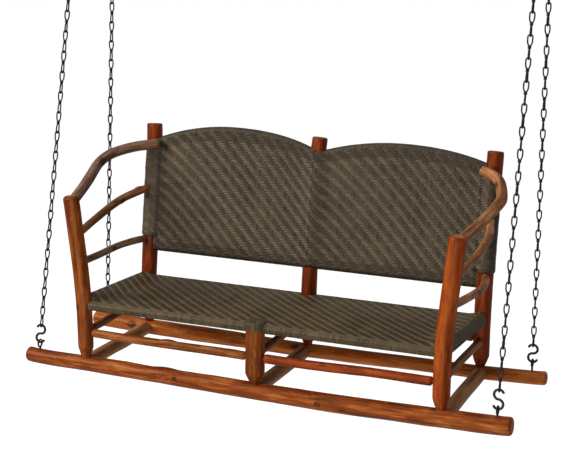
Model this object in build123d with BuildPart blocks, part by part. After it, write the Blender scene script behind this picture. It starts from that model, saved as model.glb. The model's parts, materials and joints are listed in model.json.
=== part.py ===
"""A rustic two-seat porch swing of peeled logs, with a woven seat and back, hung on four chains.

Units are millimetres. +X runs along the swing to its right, +Y to its back, +Z up. The origin is in the
ceiling plane, in the middle of the swing. Heights named *_h are above the line through the skids' ends.
"""

import math
import os

from build123d import *

# --- Driving dimensions ---------------------------------------------------------------------------
CEILING_H = 1250.0  # ceiling plane above the skid line
BAY = 570.0  # centre post to end post
SKID_Y = 213.3  # each skid's distance from the middle
SKID_HALF = 777.5  # half the length of a skid
SKID_BOW = 14.6  # how far a skid's middle hangs below its ends
FRONT_SKID_R = (22.0, 23.0, 24.0, 25.5, 27.5)  # from the left end to the right end
REAR_SKID_R = (23.5, 25.0, 22.8, 21.7, 21.5)

POST_R = {
    "front_post_left": 24.0,
    "front_post_centre": 28.5,
    "front_post_right": 25.5,
    "rear_post_left": 25.5,
    "rear_post_centre": 24.5,
    "rear_post_right": 25.5,
}
FOOT_TIP_R = 13.0  # where the pencil-shaped foot meets the skid
FOOT_LENGTH = 36.0
FOOT_TENON_R = 10.0
FOOT_TENON_LENGTH = 9.0
ARM_POST_H = 528.0  # top of the front arm posts
FLARE_H = 225.0  # where they start to lean outwards
FLARE = {"left": 38.0, "right": 34.0}  # how far they have leaned at the top
CENTRE_POST_H = 207.0
REAR_POST_H = 668.0
LEAN_H = 200.0  # where the rear posts start to lean back
LEAN = 70.6  # how far they have leaned at the top

SEAT_FRONT_H = 188.0
SEAT_REAR_H = 161.0
SEAT_SIDE_X = 574.0
SEAT_RAIL_R = 11.5
STRETCHER_H = 101.5  # of the front stretchers at the outer posts
STRETCHER_CENTRE_H = 96.5  # and at the centre post
REAR_STRETCHER_H = 100.0
SIDE_STRETCHER_FRONT_H = 103.0  # the side stretchers at the front posts
CROSS_OFFSET = {"left": -4.0, "centre": -5.0, "right": 5.0}  # cross members from the posts, to the right
CROSS_R = 22.0
CROSS_STOP = 11.5  # their tenons stop this far from the middle of the skid, clear of the posts' tenons
STRETCHER_R = 13.0
SIDE_STRETCHER_R = 12.0

BACK_RAIL_H = 271.0
HOOP_END_H = 618.0
HOOP_RISE = {"left": 47.0, "right": 39.0}
HOOP_R = 10.0
HOOP_GAP = 5.0  # beside each post, because a hoop meets it at a slant
WEAVE = 3.0  # thickness of the weave
SLACK = 0.3  # between the weave and the wood it wraps
WRAP_LOW_H = 313.0  # lower and upper ends of the weave round the end posts
WRAP_TOP_H = 598.0

TENON_STOP = 9.0  # a tenon stops this far from the middle of the post
GLUE_GAP = 0.15  # round a tenon in its mortise
SHOULDER_GAP = 0.6  # between a rail's shoulder and the post

EYE_X = {"front": 733.5, "rear": 731.0}
EYE_H = 43.0
EYE_RING_R = 11.25
EYE_WIRE_R = 2.75
EYE_STEM_R = 3.3
EYE_DROP = 3.0  # the S-hook's wire sits this far above the middle of the eye
OPEN_PIVOT_SHIFT = 1.7  # the rear S-hooks stand this far back in their eyes, so they can move both ways
S_HOOK_R = 14.0
S_HOOK_SWEEP = -250  # each bend of the S-hook, in degrees
S_WIRE_R = 3.75
LINK_COUNT = 18
LINK_REACH = 33.0  # from the middle of a link to the wire at either end
LINK_HALF_WIDTH = 6.7
LINK_WIRE_R = 2.3
CHAIN_TOP_H = 1195.5  # the wire of each chain's top loop
CHAIN_LEAN = {  # to the right, per unit of height
    ("front", "left"): 0.076,
    ("front", "right"): 0.020,
    ("rear", "left"): 0.078,
    ("rear", "right"): 0.009,
}
MIRRORED_HOOKS = [("front", "left"), ("rear", "right")]
FRONT_HOOK_Y = -107.0
REAR_HOOK_Y = 140.7
CEILING_HOOK_R = 12.0
CEILING_NECK_R = 8.0
CEILING_WIRE_R = 3.5
SCREW_LENGTH = 46.0

LEAN_ANGLE = math.atan2(LEAN, REAR_POST_H - LEAN_H)
SIDES = {"left": -1, "right": 1}
BAYS = {"left": -1, "centre": 0, "right": 1}


def at(x, y, h):
    """A point given by its height above the skid line."""
    return Vector(x, y, h - CEILING_H)


def skid_sag(x):
    """Height of the bowed skid's axis."""
    return -SKID_BOW * (1 - (x / SKID_HALF) ** 2)


def skid_radius(radii, x):
    """Radius of a skid, between the stations at which it is given."""
    place = (x / SKID_HALF + 1) / 2 * (len(radii) - 1)
    low = min(int(place), len(radii) - 2)
    return radii[low] + (place - low) * (radii[low + 1] - radii[low])


def arm_post_x(side, h):
    """Where the axis of a flared front post is at a height."""
    flare = FLARE["left" if side < 0 else "right"]
    return side * (BAY + flare * max(0.0, h - FLARE_H) / (ARM_POST_H - FLARE_H))


def rear_post_y(h):
    """Where the axis of a rear post is at a height."""
    return SKID_Y + math.tan(LEAN_ANGLE) * max(0.0, h - LEAN_H)


def on_back(x, h, forward=0.0):
    """A point at a height in the plane of the back, or in front of it."""
    return at(x, rear_post_y(h) - forward * math.cos(LEAN_ANGLE), h + forward * math.sin(LEAN_ANGLE))


def finish(part, label):
    """Names a finished piece and writes it."""
    part.label = label
    export_step(part, f"parts/{label}.step")


# --- Holes, planned before the pieces they are drilled in ------------------------------------------
holes = {}


def plan_hole(piece, mouth, direction, depth, radius):
    """Plans a round hole that starts at its mouth and runs along the direction."""
    holes.setdefault(piece, []).append((mouth, direction, depth, radius))


def drill_holes(piece):
    """Drills a piece's planned holes. Called inside the piece's BuildPart."""
    for mouth, direction, depth, radius in holes.get(piece, []):
        with BuildSketch(Plane(origin=mouth, z_dir=direction)) as section:
            Circle(radius)
        extrude(section.sketch, amount=depth, mode=Mode.SUBTRACT)


# --- Logs, rails and posts -----------------------------------------------------------------------
def bend_radii(points):
    """The largest even bend at each corner of a route."""
    radii = []
    for before, corner, after in zip(points, points[1:], points[2:]):
        turn = math.radians((corner - before).get_angle(after - corner))
        run = min((corner - before).length, (after - corner).length)
        radii.append(0.45 * run / math.tan(turn / 2))
    return radii


def rod(points, radius):
    """A round rod along straight runs joined by arcs. Called inside a BuildPart."""
    with BuildLine() as route:
        if len(points) == 2:
            Line(*points)
        else:
            FilletPolyline(*points, radius=bend_radii(points))
    with BuildSketch(Plane(origin=points[0], z_dir=points[1] - points[0])) as section:
        Circle(radius)
    sweep(section.sketch, path=route.wires()[0])


def peg(start, direction, length, radius):
    """A straight round peg. Called inside a BuildPart."""
    with BuildSketch(Plane(origin=start, z_dir=direction)) as section:
        Circle(radius)
    extrude(section.sketch, amount=length)


def rail(label, points, radius, tenon_r, posts, edge=2.5, gap=SHOULDER_GAP, stop=TENON_STOP):
    """A rail between two pieces, from axis to axis, with a turned tenon in each one that is named."""
    points = list(points)
    joints = []
    for index, (post, post_r) in zip((0, -1), posts):
        inner = points[1] if index == 0 else points[-2]
        axis_point = points[index]
        outward = (axis_point - inner).normalized()
        shoulder = axis_point - outward * (post_r + gap)
        length = post_r + gap - stop
        points[index] = shoulder
        joints.append((shoulder, outward, length))
        plan_hole(post, shoulder - outward * 2, outward, length + 2.5, tenon_r + GLUE_GAP)
    with BuildPart() as piece:
        rod(points, radius)
        ends = piece.faces().filter_by(GeomType.PLANE)
        chamfer(ends.edges(), edge)
        for shoulder, outward, length in joints:
            peg(shoulder - outward * 0.5, outward, length + 0.5, tenon_r)
        drill_holes(label)
    finish(piece.part, label)


def foot_profile(radius, grow):
    """Half the outline of a post's foot: tenon, pencil point and the start of the post."""
    Polyline(
        (0, -FOOT_TENON_LENGTH - grow),
        (FOOT_TENON_R + grow, -FOOT_TENON_LENGTH - grow),
        (FOOT_TENON_R + grow, -grow),
        (FOOT_TIP_R + grow, -grow),
        (radius + grow, FOOT_LENGTH),
        (radius + grow, FOOT_LENGTH + 14),
        (0, FOOT_LENGTH + 14),
        close=True,
    )


def foot_plane(x, y):
    """The plane through a post's foot, with its origin where the pencil point meets the skid."""
    radii = FRONT_SKID_R if y < 0 else REAR_SKID_R
    return Plane(
        origin=at(x, y, skid_sag(x) + skid_radius(radii, x) - 6.0),
        x_dir=(1, 0, 0),
        z_dir=(0, -1, 0),
    )


def foot(x, y, radius, grow=0.0, mode=Mode.ADD):
    """A post's foot, or with grow the socket it stands in. Called inside a BuildPart."""
    plane = foot_plane(x, y)
    with BuildSketch(plane) as section:
        with BuildLine():
            foot_profile(radius, grow)
        make_face()
    revolve(section.sketch, axis=Axis(plane.origin, (0, 0, 1)), mode=mode)


def post(label, points):
    """A standing post along a route, on a pencil-shaped foot."""
    radius = POST_R[label]
    start = points[0]
    foot_top = foot_plane(start.X, start.Y).origin + Vector(0, 0, FOOT_LENGTH + 14)
    with BuildPart() as piece:
        rod([foot_top, *points[1:]], radius)
        top = piece.faces().filter_by(GeomType.PLANE).sort_by(Axis.Z)[-1]
        chamfer(top.edges(), 3.0)
        foot(start.X, start.Y, radius)
        drill_holes(label)
    finish(piece.part, label)


def skid(label, y, radii):
    """A bowed, slightly tapered log, with sockets for the posts and holes for the screw eyes."""
    with BuildPart() as piece:
        for index, radius in enumerate(radii):
            x = -SKID_HALF + 2 * SKID_HALF * index / (len(radii) - 1)
            slope = 2 * SKID_BOW * x / SKID_HALF**2
            with BuildSketch(Plane(origin=at(x, y, skid_sag(x)), x_dir=(0, 1, 0), z_dir=(1, 0, slope))):
                Circle(radius)
        loft(ruled=True)
        ends = piece.faces().filter_by(GeomType.PLANE)
        chamfer(ends.edges(), 3.5)
        for bay, side in BAYS.items():
            row = "front" if y < 0 else "rear"
            foot(side * BAY, y, POST_R[f"{row}_post_{bay}"], grow=0.2, mode=Mode.SUBTRACT)
        drill_holes(label)
    finish(piece.part, label)


# --- Nails -----------------------------------------------------------------------------------------
NAIL_R = 1.5
NAIL_HEAD_R = 3.2
NAIL_HEAD = 1.2
nails = []


def plan_nail(head, direction, length, pieces):
    """Plans a nail, and its hole in each piece that it passes through."""
    direction = Vector(direction).normalized()
    nails.append((head, direction, length))
    for piece in pieces:
        plan_hole(piece, head, direction, length + 0.5, NAIL_R + 0.1)
    plan_hole(pieces[0], head - direction * 6, direction, NAIL_HEAD + 6.1, NAIL_HEAD_R + 0.1)


ARM_END_H = 612.5  # where the top arm rail crosses the rear post
ARM_END_Y = 224.5
ARM_R = 16.0
for bay, side in SIDES.items():
    crossing = at(side * (BAY - 1), ARM_END_Y - ARM_R + 1.5, ARM_END_H)
    plan_nail(crossing, (0, 1, 0), 54, [f"arm_rail_{bay}", f"rear_post_{bay}"])
    radius = POST_R[f"front_post_{bay}"]
    outside = at(arm_post_x(side, 507) + side * (radius - 4.5), -SKID_Y + 13, 507)
    plan_nail(outside, (-side, 0, 0), 24, [f"front_post_{bay}", f"arm_rail_{bay}"])
    front = at(side * 13, -SKID_Y - POST_R["front_post_centre"] + 4.0, SEAT_FRONT_H - 13)
    plan_nail(front, (0, 1, 0.25), 30, ["front_post_centre", f"seat_rail_front_{bay}"])


# --- Arms ------------------------------------------------------------------------------------------
ARM_SHAPE = [(626, -60, 527), (655, 85, 580), (613, 191, 609), (546, 240.5, 616)]
UPPER_SPINDLE_SHAPE = [(609, -40, 422), (612, 95, 451), (590, 185, 466)]
LOWER_SPINDLE_SHAPE = [(592, -60, 310), (604, 65, 308), (593, 150, 308)]


def side_points(side, shape):
    """Mirrors a route, given for the right-hand side, to either side."""
    return [at(side * x, y, h) for x, y, h in shape]


os.makedirs("parts", exist_ok=True)

for bay, side in SIDES.items():
    front_r = POST_R[f"front_post_{bay}"]
    rear_r = POST_R[f"rear_post_{bay}"]
    front_post = (f"front_post_{bay}", front_r)
    rear_post = (f"rear_post_{bay}", rear_r)
    rail(
        f"arm_rail_{bay}",
        [at(arm_post_x(side, 506), -SKID_Y, 506), *side_points(side, ARM_SHAPE)],
        ARM_R,
        9.0,
        [front_post],
        edge=4.0,
        gap=2.5,
    )
    rail(
        f"arm_spindle_upper_{bay}",
        [
            at(arm_post_x(side, 405), -SKID_Y, 405),
            *side_points(side, UPPER_SPINDLE_SHAPE),
            at(side * (BAY - 2), rear_post_y(472), 472),
        ],
        11.5,
        7.0,
        [front_post, (rear_post[0], rear_r + WEAVE + 1)],
        gap=1.5,
    )
    rail(
        f"arm_spindle_lower_{bay}",
        [
            at(arm_post_x(side, 320), -SKID_Y, 320),
            *side_points(side, LOWER_SPINDLE_SHAPE),
            at(side * BAY, rear_post_y(303), 303),
        ],
        10.0,
        6.5,
        [front_post, rear_post],
        gap=1.5,
    )

# --- Seat rails and stretchers ---------------------------------------------------------------------
for bay, side in SIDES.items():
    for row, y, seat_h, low_h, low_centre_h in (
        ("front", -SKID_Y, SEAT_FRONT_H, STRETCHER_H, STRETCHER_CENTRE_H),
        ("rear", SKID_Y, SEAT_REAR_H, REAR_STRETCHER_H, REAR_STRETCHER_H),
    ):
        ends = [
            (f"{row}_post_centre", POST_R[f"{row}_post_centre"]),
            (f"{row}_post_{bay}", POST_R[f"{row}_post_{bay}"]),
        ]
        rail(
            f"seat_rail_{row}_{bay}",
            [at(0, y, seat_h), at(side * BAY, y, seat_h)],
            SEAT_RAIL_R,
            8.0,
            ends,
        )
        low_ends = [at(0, y, low_centre_h), at(side * BAY, y, low_h)]
        rail(f"{row}_stretcher_{bay}", low_ends, STRETCHER_R, 7.0, ends)
    rail(
        f"seat_rail_{bay}",
        [at(side * SEAT_SIDE_X, -SKID_Y, SEAT_FRONT_H), at(side * SEAT_SIDE_X, SKID_Y, SEAT_REAR_H)],
        SEAT_RAIL_R,
        8.0,
        [(f"{row}_post_{bay}", POST_R[f"{row}_post_{bay}"]) for row in ("front", "rear")],
    )

for bay, side in BAYS.items():
    rail(
        f"side_stretcher_{bay}",
        [at(side * BAY, -SKID_Y, SIDE_STRETCHER_FRONT_H), at(side * BAY, SKID_Y, REAR_STRETCHER_H - 2)],
        SIDE_STRETCHER_R,
        7.0,
        [(f"{row}_post_{bay}", POST_R[f"{row}_post_{bay}"]) for row in ("front", "rear")],
    )
    cross_x = side * BAY + CROSS_OFFSET[bay]
    rail(
        f"cross_member_{bay}",
        [at(cross_x, y, skid_sag(cross_x)) for y in (-SKID_Y, SKID_Y)],
        CROSS_R,
        9.0,
        [
            ("front_skid", skid_radius(FRONT_SKID_R, cross_x)),
            ("rear_skid", skid_radius(REAR_SKID_R, cross_x)),
        ],
        stop=CROSS_STOP,
    )

# --- Back frame ------------------------------------------------------------------------------------
BACK = Plane(
    origin=on_back(0, BACK_RAIL_H),
    x_dir=(1, 0, 0),
    z_dir=(0, -math.cos(LEAN_ANGLE), math.sin(LEAN_ANGLE)),
)
for bay, side in SIDES.items():
    ends = [
        ("rear_post_centre", POST_R["rear_post_centre"]),
        (f"rear_post_{bay}", POST_R[f"rear_post_{bay}"]),
    ]
    rail(
        f"back_bottom_rail_{bay}",
        [on_back(0, BACK_RAIL_H), on_back(side * BAY, BACK_RAIL_H)],
        9.0,
        7.0,
        ends,
    )


def along_back(h):
    """Distance up the slope of the back from its bottom rail."""
    return (h - BACK_RAIL_H) / math.cos(LEAN_ANGLE)


def hoop_ends(bay):
    """Where a hoop's axis stops beside its two posts, in the back's plane."""
    side = SIDES[bay]
    inner = POST_R["rear_post_centre"] + HOOP_GAP
    outer = BAY - POST_R[f"rear_post_{bay}"] - HOOP_GAP
    return (side * inner, along_back(HOOP_END_H)), (side * outer, along_back(HOOP_END_H))


def hoop_peak(bay):
    """The top of a hoop's axis, in the back's plane."""
    (inner, low), (outer, _) = hoop_ends(bay)
    return ((inner + outer) / 2, low + HOOP_RISE[bay])


for bay, side in SIDES.items():
    label = f"back_hoop_{bay}"
    inner_end, outer_end = hoop_ends(bay)
    with BuildPart() as hoop:
        with BuildLine(BACK) as arch:
            ThreePointArc(inner_end, hoop_peak(bay), outer_end)
        with BuildSketch(Plane(origin=arch.line @ 0, z_dir=arch.line % 0)):
            Circle(HOOP_R)
        sweep(path=arch.line)
        for end, outward, post_label in (
            (arch.line @ 0, (arch.line % 0) * -1, "rear_post_centre"),
            (arch.line @ 1, arch.line % 1, f"rear_post_{bay}"),
        ):
            length = POST_R[post_label] + HOOP_GAP - TENON_STOP
            peg(end - outward * 0.5, outward, length + 0.5, 7.0)
            plan_hole(post_label, end - outward, outward, length + 2.0, 7.0 + GLUE_GAP)
            plan_hole("woven_back", end - outward, outward, 12.0, 7.0 + 2 * SLACK)
    finish(hoop.part, label)

# --- Posts and skids -------------------------------------------------------------------------------
for bay, side in SIDES.items():
    post(
        f"front_post_{bay}",
        [
            at(side * BAY, -SKID_Y, 0),
            at(side * BAY, -SKID_Y, FLARE_H),
            at(side * (BAY + FLARE[bay]), -SKID_Y, ARM_POST_H),
        ],
    )
post("front_post_centre", [at(0, -SKID_Y, 0), at(0, -SKID_Y, CENTRE_POST_H)])
for bay, side in BAYS.items():
    post(
        f"rear_post_{bay}",
        [
            at(side * BAY, SKID_Y, 0),
            at(side * BAY, SKID_Y, LEAN_H),
            at(side * BAY, rear_post_y(REAR_POST_H), REAR_POST_H),
        ],
    )

# --- Woven seat and back ---------------------------------------------------------------------------
SKIN_R = SEAT_RAIL_R + SLACK + WEAVE  # outside of the weave round a rail
HOLLOW_R = SEAT_RAIL_R + SLACK  # inside of the weave round a rail
SEAT_SLOPE = math.atan2(SEAT_REAR_H - SEAT_FRONT_H, 2 * SKID_Y)
SEAT = Plane(
    origin=at(0, 0, (SEAT_FRONT_H + SEAT_REAR_H) / 2),
    x_dir=(1, 0, 0),
    z_dir=(0, -math.sin(SEAT_SLOPE), math.cos(SEAT_SLOPE)),
)
SEAT_HALF_DEPTH = SKID_Y / math.cos(SEAT_SLOPE)


def padded_outline(plane, corners, radius, mode):
    """A flat slab with half-round edges, its edges' axes through the corners. Called inside a BuildPart."""
    with BuildSketch(plane.offset(-radius)) as slab:
        with BuildLine():
            Polyline(*corners, close=True)
        make_face()
    extrude(slab.sketch, amount=2 * radius, mode=mode)
    for start, end in zip(corners, corners[1:] + corners[:1]):
        first = plane.from_local_coords(Vector(*start))
        last = plane.from_local_coords(Vector(*end))
        with BuildSketch(Plane(origin=first, z_dir=last - first)) as edge:
            Circle(radius)
        extrude(edge.sketch, amount=(last - first).length, mode=mode)


seat_corners = [
    (-SEAT_SIDE_X, -SEAT_HALF_DEPTH),
    (SEAT_SIDE_X, -SEAT_HALF_DEPTH),
    (SEAT_SIDE_X, SEAT_HALF_DEPTH),
    (-SEAT_SIDE_X, SEAT_HALF_DEPTH),
]
POST_CLEARANCE = 0.6
with BuildPart() as woven_seat:
    padded_outline(SEAT, seat_corners, SKIN_R, Mode.ADD)
    with BuildSketch(Plane(origin=at(0, -SKID_Y, SEAT_FRONT_H - 3), z_dir=(0, 0, 1))):
        Circle(POST_R["front_post_centre"] + POST_CLEARANCE + WEAVE)
    extrude(amount=CENTRE_POST_H - SEAT_FRONT_H + 3 + POST_CLEARANCE + WEAVE)
    padded_outline(SEAT, seat_corners, HOLLOW_R, Mode.SUBTRACT)
    for bay, side in BAYS.items():
        for row, y in (("front", -SKID_Y), ("rear", SKID_Y)):
            reach = CENTRE_POST_H + POST_CLEARANCE if (row, bay) == ("front", "centre") else 260
            with BuildSketch(Plane(origin=at(side * BAY, y, 120), z_dir=(0, 0, 1))):
                Circle(POST_R[f"{row}_post_{bay}"] + POST_CLEARANCE)
            extrude(amount=reach - 120, mode=Mode.SUBTRACT)
finish(woven_seat.part, "woven_seat")

UP_BACK = Vector(0, math.sin(LEAN_ANGLE), math.cos(LEAN_ANGLE))


def panel(bay, radius, mode):
    """A back panel between the axes of its hoop, bottom rail and posts. Called inside a BuildPart."""
    side = SIDES[bay]
    inner_end, outer_end = hoop_ends(bay)
    with BuildSketch(BACK.offset(-radius)) as slab:
        with BuildLine():
            Line((0, 0), (side * BAY, 0))
            Line((side * BAY, 0), (side * BAY, outer_end[1]))
            Line((side * BAY, outer_end[1]), outer_end)
            ThreePointArc(outer_end, hoop_peak(bay), inner_end)
            Line(inner_end, (0, inner_end[1]))
            Line((0, inner_end[1]), (0, 0))
        make_face()
    extrude(slab.sketch, amount=2 * radius, mode=mode)
    with BuildLine(BACK) as arch:
        ThreePointArc(inner_end, hoop_peak(bay), outer_end)
    with BuildSketch(Plane(origin=arch.line @ 0, z_dir=arch.line % 0)) as top_edge:
        Circle(radius)
    sweep(top_edge.sketch, path=arch.line, mode=mode)
    with BuildSketch(Plane(origin=on_back(0, BACK_RAIL_H), z_dir=(side, 0, 0))) as low_edge:
        Circle(radius)
    extrude(low_edge.sketch, amount=BAY, mode=mode)


def post_sleeve(bay, low_h, top_h, radius, mode):
    """A round sleeve about a rear post's axis, between two heights. Called inside a BuildPart."""
    start = on_back(BAYS[bay] * BAY, low_h)
    with BuildSketch(Plane(origin=start, z_dir=UP_BACK)) as section:
        Circle(radius)
    extrude(section.sketch, amount=along_back(top_h) - along_back(low_h), mode=mode)


with BuildPart() as woven_back:
    for bay in SIDES:
        panel(bay, SKIN_R, Mode.ADD)
        post_sleeve(bay, WRAP_LOW_H, WRAP_TOP_H, POST_R[f"rear_post_{bay}"] + POST_CLEARANCE + WEAVE, Mode.ADD)
    centre_skin = POST_R["rear_post_centre"] + POST_CLEARANCE + WEAVE
    post_sleeve("centre", BACK_RAIL_H - 12, HOOP_END_H + 6, centre_skin, Mode.ADD)
    for bay in SIDES:
        panel(bay, HOLLOW_R, Mode.SUBTRACT)
    for bay in BAYS:
        post_sleeve(bay, 235, 700, POST_R[f"rear_post_{bay}"] + POST_CLEARANCE, Mode.SUBTRACT)
    for bay, side in SIDES.items():
        spindle_end = at(side * (BAY - 2), rear_post_y(472), 472)
        with BuildSketch(Plane(origin=spindle_end, z_dir=(side * 0.33, -0.93, -0.08))):
            Circle(12.5)
        extrude(amount=60, mode=Mode.SUBTRACT)
    drill_holes("woven_back")
finish(woven_back.part, "woven_back")

# --- Screw eyes, S-hooks and chains ----------------------------------------------------------------
EYE_SHANK = 26.0
CORNERS = [(row, bay) for row in ("front", "rear") for bay in SIDES]


def corner_sign(row, bay):
    """Signs of a corner's X and Y."""
    return SIDES[bay], (-1 if row == "front" else 1)


for row, bay in CORNERS:
    sx, sy = corner_sign(row, bay)
    label = f"screw_eye_{row}_{bay}"
    eye_x = sx * EYE_X[row]
    middle = at(eye_x, sy * SKID_Y, EYE_H)
    skid_top = skid_sag(eye_x) + skid_radius(FRONT_SKID_R if sy < 0 else REAR_SKID_R, eye_x)
    stem = EYE_H - EYE_RING_R - skid_top + EYE_SHANK
    with BuildPart() as screw_eye:
        with BuildSketch(Plane(origin=middle + Vector(0, EYE_RING_R, 0), z_dir=(0, 0, 1))):
            Circle(EYE_WIRE_R)
        revolve(axis=Axis(middle, (1, 0, 0)))
        peg(middle - Vector(0, 0, EYE_RING_R + 1), (0, 0, -1), stem - 1, EYE_STEM_R)
    finish(screw_eye.part, label)
    plan_hole(
        f"{row}_skid",
        at(eye_x, sy * SKID_Y, skid_top + 4),
        Vector(0, 0, -1),
        EYE_SHANK + 5,
        EYE_STEM_R + GLUE_GAP,
    )

skid("front_skid", -SKID_Y, FRONT_SKID_R)
skid("rear_skid", SKID_Y, REAR_SKID_R)


def hanging_plane(row, bay):
    """A plane at a corner's S-hook pivot, with its Z axis up the leaning chain, and the chain's length."""
    sx, sy = corner_sign(row, bay)
    shift = OPEN_PIVOT_SHIFT if row == "rear" else 0.0
    pivot = at(sx * EYE_X[row], sy * SKID_Y + shift, EYE_H + EYE_DROP)
    rise = CHAIN_TOP_H - EYE_H - EYE_DROP
    top = at(
        sx * EYE_X[row] + CHAIN_LEAN[row, bay] * rise,
        FRONT_HOOK_Y if row == "front" else REAR_HOOK_Y,
        CHAIN_TOP_H,
    )
    direction = top - pivot
    across = Vector(0, 1, 0).cross(direction)
    return Plane(origin=pivot, x_dir=across, z_dir=direction), direction.length


def face_on(plane):
    """The upright plane that holds a plane's X and Z directions."""
    return Plane(origin=plane.origin, x_dir=plane.x_dir, z_dir=plane.y_dir * -1)


def edge_on(plane):
    """The upright plane that holds a plane's Y and Z directions."""
    return Plane(origin=plane.origin, x_dir=plane.y_dir, z_dir=plane.x_dir)


def wire(path, radius):
    """A round wire along a path. Called inside a BuildPart."""
    with BuildSketch(Plane(origin=path @ 0, z_dir=path % 0)) as section:
        Circle(radius)
    sweep(section.sketch, path=path)


def link_loop(plane, up):
    """One loop of a chain link: two straight legs from the knot and a round end. Called inside a BuildPart."""
    width = LINK_HALF_WIDTH
    round_start = LINK_REACH - width
    with BuildLine(plane) as loop:
        Polyline((1.4, 0), (width, up * round_start * 0.55), (width, up * round_start))
        ThreePointArc((width, up * round_start), (0, up * LINK_REACH), (-width, up * round_start))
        Polyline((-width, up * round_start), (-width, up * round_start * 0.55), (-1.4, 0))
    with BuildSketch(Plane(origin=loop.wire() @ 0, z_dir=loop.wire() % 0)) as section:
        Circle(LINK_WIRE_R)
    sweep(section.sketch, path=loop.wire(), transition=Transition.ROUND)


# A double-loop link about its knot: its loops stand at right angles, with a twisted knot between them.
with BuildPart() as link:
    link_loop(face_on(Plane.XY), 1)
    link_loop(edge_on(Plane.XY), -1)
    with BuildSketch(Plane.XY.offset(-4)):
        Circle(4.2)
    extrude(amount=8)

for row, bay in CORNERS:
    hang, length = hanging_plane(row, bay)
    front_view = face_on(hang)
    if (row, bay) in MIRRORED_HOOKS:
        front_view = Plane(origin=hang.origin, x_dir=hang.x_dir * -1, z_dir=hang.y_dir)
    with BuildPart() as s_hook:
        for middle, start_angle in ((S_HOOK_R, 90), (3 * S_HOOK_R, -90)):
            with BuildLine(front_view) as bend:
                CenterArc((0, middle), S_HOOK_R, start_angle, S_HOOK_SWEEP)
            wire(bend.line, S_WIRE_R)
    finish(s_hook.part, f"s_hook_{row}_{bay}")

    first_knot = 4 * S_HOOK_R - S_WIRE_R - LINK_WIRE_R - SLACK + LINK_REACH
    pitch = (length - LINK_REACH - first_knot) / (LINK_COUNT - 1)
    with BuildPart() as chain:
        for index in range(LINK_COUNT):
            add(hang.offset(first_knot + pitch * index).location * link.part)
    finish(chain.part, f"chain_{row}_{bay}")

# --- Ceiling hooks ---------------------------------------------------------------------------------
NECK_TURN = math.degrees(math.acos(CEILING_NECK_R / (CEILING_NECK_R + CEILING_HOOK_R)))
NECK_DROP = (CEILING_NECK_R + CEILING_HOOK_R) * math.sin(math.radians(NECK_TURN)) + CEILING_HOOK_R
PLAIN_SHANK = 14.0  # above the ceiling plane
THREAD_R = 3.9
THREAD_PITCH = 3.0
for row, bay in CORNERS:
    hang, length = hanging_plane(row, bay)
    loop_top = hang.origin + hang.z_dir * length
    bend = -1 if row == "front" else 1
    wire_middle = loop_top.Z - LINK_WIRE_R - CEILING_WIRE_R - SLACK / 2
    neck = Vector(loop_top.X, loop_top.Y, wire_middle + NECK_DROP)
    side_plane = Plane(origin=neck, x_dir=(0, bend, 0), z_dir=(bend, 0, 0))
    with BuildPart() as ceiling_hook:
        with BuildLine(side_plane) as hook_line:
            start = Line((0, 4), (0, 0))
            first = JernArc((0, 0), (0, -1), CEILING_NECK_R, -NECK_TURN)
            JernArc(first @ 1, first % 1, CEILING_HOOK_R, NECK_TURN + 178)
        wire(hook_line.wire(), CEILING_WIRE_R)
        peg(neck, (0, 0, 1), PLAIN_SHANK - neck.Z, CEILING_WIRE_R + 0.5)
        with BuildSketch(Plane(origin=(neck.X, neck.Y, PLAIN_SHANK), x_dir=(1, 0, 0), z_dir=(0, -1, 0))):
            with BuildLine():
                turns = int(SCREW_LENGTH / THREAD_PITCH)
                outline = [(0, 0)]
                for turn in range(turns):
                    outline.append((THREAD_R - 1.2, turn * THREAD_PITCH))
                    outline.append((THREAD_R, (turn + 0.5) * THREAD_PITCH))
                outline += [(THREAD_R - 1.2, turns * THREAD_PITCH), (0, turns * THREAD_PITCH + 6)]
                Polyline(*outline, close=True)
            make_face()
        revolve(axis=Axis((neck.X, neck.Y, 0), (0, 0, 1)))
    finish(ceiling_hook.part, f"ceiling_hook_{row}_{bay}")

with BuildPart() as nail_group:
    for head, direction, length in nails:
        peg(head, direction, NAIL_HEAD, NAIL_HEAD_R)
        peg(head, direction, length, NAIL_R)
finish(nail_group.part, "nails")
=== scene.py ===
"""The looks of a rustic two-seat porch swing: peeled logs, a twill-woven seat and back, chains and hooks.

Units are metres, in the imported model's frame: +X along the swing to its right, +Y to its back, +Z up, with
the origin in the ceiling plane. Heights named h are above the line through the ends of the skids.
"""

import json
import math

import bpy
import numpy as np
from mathutils import Matrix, Vector


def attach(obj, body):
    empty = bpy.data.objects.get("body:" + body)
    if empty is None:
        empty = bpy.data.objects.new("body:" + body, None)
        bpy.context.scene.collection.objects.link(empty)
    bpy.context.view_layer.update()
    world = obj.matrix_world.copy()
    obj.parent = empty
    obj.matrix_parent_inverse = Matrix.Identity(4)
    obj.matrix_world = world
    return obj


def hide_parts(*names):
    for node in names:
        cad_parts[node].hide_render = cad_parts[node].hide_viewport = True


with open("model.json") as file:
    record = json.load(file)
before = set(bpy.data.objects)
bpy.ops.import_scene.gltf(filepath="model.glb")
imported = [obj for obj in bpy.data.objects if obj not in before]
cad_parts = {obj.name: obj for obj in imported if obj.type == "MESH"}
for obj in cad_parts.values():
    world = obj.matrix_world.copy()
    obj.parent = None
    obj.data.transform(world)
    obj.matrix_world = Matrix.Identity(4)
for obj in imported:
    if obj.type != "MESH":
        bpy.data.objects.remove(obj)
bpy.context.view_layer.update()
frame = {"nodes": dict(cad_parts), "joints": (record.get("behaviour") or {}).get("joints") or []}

# --- Camera ---
CEILING_H = 1.25
CAMERA_AZIMUTH = math.radians(22.0)
CAMERA_ELEVATION = math.radians(14.44)
CAMERA_ROLL = math.radians(0.44)
CAMERA_DISTANCE = 4.478
CAMERA_TARGET = Vector((0.0264, 0, 0.424 - CEILING_H))
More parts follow.
